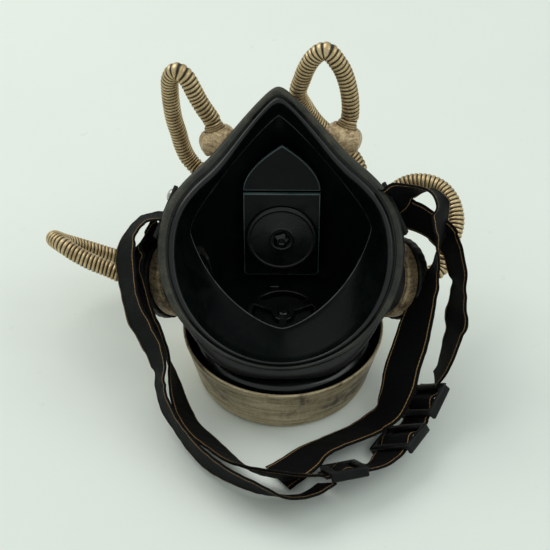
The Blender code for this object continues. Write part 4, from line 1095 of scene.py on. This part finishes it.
def ribbon(name, rows, node):
    """Webbing with rounded edges, a thread line near each edge and a slightly wavy surface."""
    half, thick = STRAP_WIDTH / 2, STRAP_THICK / 2
    across = [-half, -half + 0.5, -half + 1.0, -half + 1.8, -half + 2.6, -6, -3, 0, 3, 6, half - 2.6,
              half - 1.8,
              half - 1.0, half - 0.5, half]
    height = []
    for u in across:
        edge = half - abs(u)
        swell = 0.22 * math.exp(-((edge - 1.7) / 0.7)**2)
        height.append(thick * min(1.0, 0.45 + 0.9 * edge) - 0.12 + swell)
    section = list(zip(across, height)) + [(u, -h) for u, h in reversed(list(zip(across, height)))]
    points, faces, uvs = [], [], []
    along = 0.0
    travelled = []
    for i, (centre, width, normal) in enumerate(rows):
        if i:
            along += (centre - rows[i - 1][0]).length
        travelled.append(along)
        for u, h in section:
            ripple = 0.10 * math.sin(along * 0.9 + u * 0.5) * math.sin(along * 0.13 + 1.0)
            points.append(centre + width * u + normal * (h + ripple))
    count = len(section)
    for i in range(len(rows) - 1):
        for k in range(count):
            j = (k + 1) % count
            faces.append((i * count + k, i * count + j, (i + 1) * count + j, (i + 1) * count + k))
            first, second = section[k][0] + half, section[j][0] + half
            uvs += [(first, travelled[i]), (second, travelled[i]), (second, travelled[i + 1]),
                    (first, travelled[i + 1])]
    for base, at in ((0, 0.0), ((len(rows) - 1) * count, along)):
        faces.append(tuple(base + k for k in range(count)))
        uvs += [(section[k][0] + half, at) for k in range(count)]
    obj = build(name, points, faces, WEBBING, uvs=uvs, angle=70.0)
    work = bmesh.new()
    work.from_mesh(obj.data)
    bmesh.ops.recalc_face_normals(work, faces=work.faces)
    work.to_mesh(obj.data)
    work.free()
    settle(obj, "mask", node)
    print("STRAP", name, round(along, 1))
    return obj


SLIDER_SPANS = {"slider_upper": (0, 1), "slider_middle": (2, 3), "slider_lower": (5, 6)}


def slider_frame(start, end):
    first, last = Vector(start[:3]), Vector(end[:3])
    along = (last - first).normalized()
    width = lean_frame(along, (start[3] + end[3]) / 2)
    normal = along.cross(width).normalized()
    rotation = Matrix((along, width, normal)).transposed().to_4x4()
    return Matrix.Translation((first + last) / 2) @ rotation


def over_bars(row, link):
    """The webbing of the link rises over the middle bar of each buckle."""
    centre, width, normal = row
    for a, b in SLIDER_SPANS.values():
        place = slider_frame(link[a], link[b])
        local = place.inverted() @ centre
        if abs(local.x) < 6.0 and local.length < 12.0:
            lift = 2.5 * math.cos(math.pi * local.x / 12.0)**2
            return centre + place.col[2].to_3d() * lift, width, normal
    return row


def slider(name, start, end):
    where = slider_frame(start, end)
    rail_at = STRAP_WIDTH / 2 + 0.5 + 1.1
    bars = [((0, rail_at, 0.4), (17.6, 2.2, 5.0), 1.0), ((0, -rail_at, 0.4), (17.6, 2.2, 5.0), 1.0),
            ((7.3, 0, 1.8), (3.4, 2 * rail_at, 2.0), 0.95), ((-7.3, 0, 1.8), (3.4, 2 * rail_at, 2.0), 0.95),
            ((0, 0, -0.3), (3.6, 2 * rail_at, 1.6), 0.7)]
    parts = [block(size, where @ Matrix.Translation(middle), bevel, 4) for middle, size, bevel in bars]
    settle(joined("buckle_" + name[7:], parts, BUCKLE), name, name)


def strap_plate(side, label):
    angle = side * PLATE_ANGLE
    long_way = (rim_point(angle + side * 0.01) - rim_point(angle - side * 0.01)).normalized()
    depth = (INWARD - long_way * INWARD.dot(long_way)).normalized()
    outward = long_way.cross(depth) * side
    across = outward.cross(long_way)
    turn = 1.0 if across.dot(depth) > 0 else -1.0
    where = Matrix((long_way, across, outward)).transposed().to_4x4()
    where.translation = rim_point(angle) + depth * 6.5 - outward * 0.4
    outline = [(-13, -5.5), (-12.5, -6), (12.5, -6), (13, -5.5)]
    outline += circle_points(3.0, 9, (10.0, 3.0), 0.0, math.pi / 2, False)
    outline += circle_points(3.0, 9, (-10.0, 3.0), math.pi / 2, math.pi, False)
    slot = [(-10.8, -4.2), (10.8, -4.2), (10.8, -1.4), (-10.8, -1.4)]
    loops = [[(x, y * turn) for x, y in loop] for loop in (outline, slot,
                                                           circle_points(1.9, 24, (-9.0, 2.0)))]
    made = plate("anchor_" + label, loops, 2.0, where, PLASTIC, 0.4)
    settle(made, "mask", "strap_plate_" + label)
    head = where @ Matrix.Translation((-9.0, 2.0 * turn, 0.0))
    screw = lathe("rivet_" + label, [
        (0, 2.9), (0.7, 2.9), (0.9, 3.4), (1.7, 3.2), (2.7, 2.6), (3.4, 1.7), (3.4, 1.3), (1.6, 1.3),
        (1.6, -1.3),
        (0, -1.3)], head.translation, outward, STEEL, steps=48, corner=0.15)
    settle(screw, "mask", "strap_screw_" + label)


def harness():
    for node, route in STRAP_ROUTES.items():
        rows = strap_rows(route, (0, 2, 5) if node == "strap_link" else ())
        if node == "strap_link":
            rows = [over_bars(row, route) for row in rows]
        ribbon("webbing_" + node[6:], rows, node)
    link = STRAP_ROUTES["strap_link"]
    for name, (a, b) in SLIDER_SPANS.items():
        slider(name, link[a], link[b])


# --- Assembly ------------------------------------------------------------------------------------

mask_shell()
face_seal()
valve_panels()
inhale_valve()
chin_grille()
chin_canister()
front_hub()
for sign, word in ((1, "right"), (-1, "left")):
    side_canister(sign, word)
    nose_fitting(sign, word)
    strap_plate(sign, word)
hoses()
harness()

CAD_LOOKS = {
    "side_filter_pad": FELT, "chin_filter_pad": FELT, "exhale_duct": GLOSS,
    "exhale_valve_flap": RUBBER, "chin_valve_flap": RUBBER}
for node_name, node_obj in NODES.items():
    for start, look in CAD_LOOKS.items():
        if node_name.startswith(start):
            for slot in node_obj.material_slots:
                slot.material = look


# --- Table, light, camera ------------------------------------------------------------------------

def aimed(obj, place, target):
    obj.location = Vector(place)
    obj.rotation_mode = "QUATERNION"
    obj.rotation_quaternion = (Vector(target) - Vector(place)).to_track_quat("-Z", "Y")


def area_light(name, place, size, power, colour, target=(0.0, 0.0, 0.05)):
    data = bpy.data.lights.new(name, "AREA")
    data.shape = "RECTANGLE"
    data.size, data.size_y = size
    data.energy = power
    data.color = colour
    obj = bpy.data.objects.new(name, data)
    bpy.context.scene.collection.objects.link(obj)
    aimed(obj, place, target)


table = build("table", [(-3000, -3000, 0), (3000, -3000, 0), (3000, 3000, 0), (-3000, 3000, 0)],
              [(0, 1, 2, 3)],
              table_look())
table.location.z = -0.0002
area_light("key", (-0.55, 0.45, 1.0), (0.8, 0.8), 5.0, (1.0, 0.99, 0.95))
area_light("fill", (0.8, -0.1, 1.0), (0.9, 0.9), 3.2, (0.95, 1.0, 0.99))
world = bpy.data.worlds.new("studio")
world.use_nodes = True
world.node_tree.nodes["Background"].inputs["Color"].default_value = (0.92, 1.0, 0.96, 1.0)
world.node_tree.nodes["Background"].inputs["Strength"].default_value = 0.60
bpy.context.scene.world = world
bpy.context.scene.view_settings.view_transform = "Standard"

camera = bpy.data.objects.new("camera", bpy.data.cameras.new("camera"))
bpy.context.scene.collection.objects.link(camera)
camera.data.sensor_width = 36.0
camera.data.lens = 73.3
camera_at = Vector((0.0, -0.40283, 0.41901))
aimed(camera, camera_at, camera_at + Vector((-0.0074189, 0.74777934, -0.66390588)))
bpy.context.scene.camera = camera
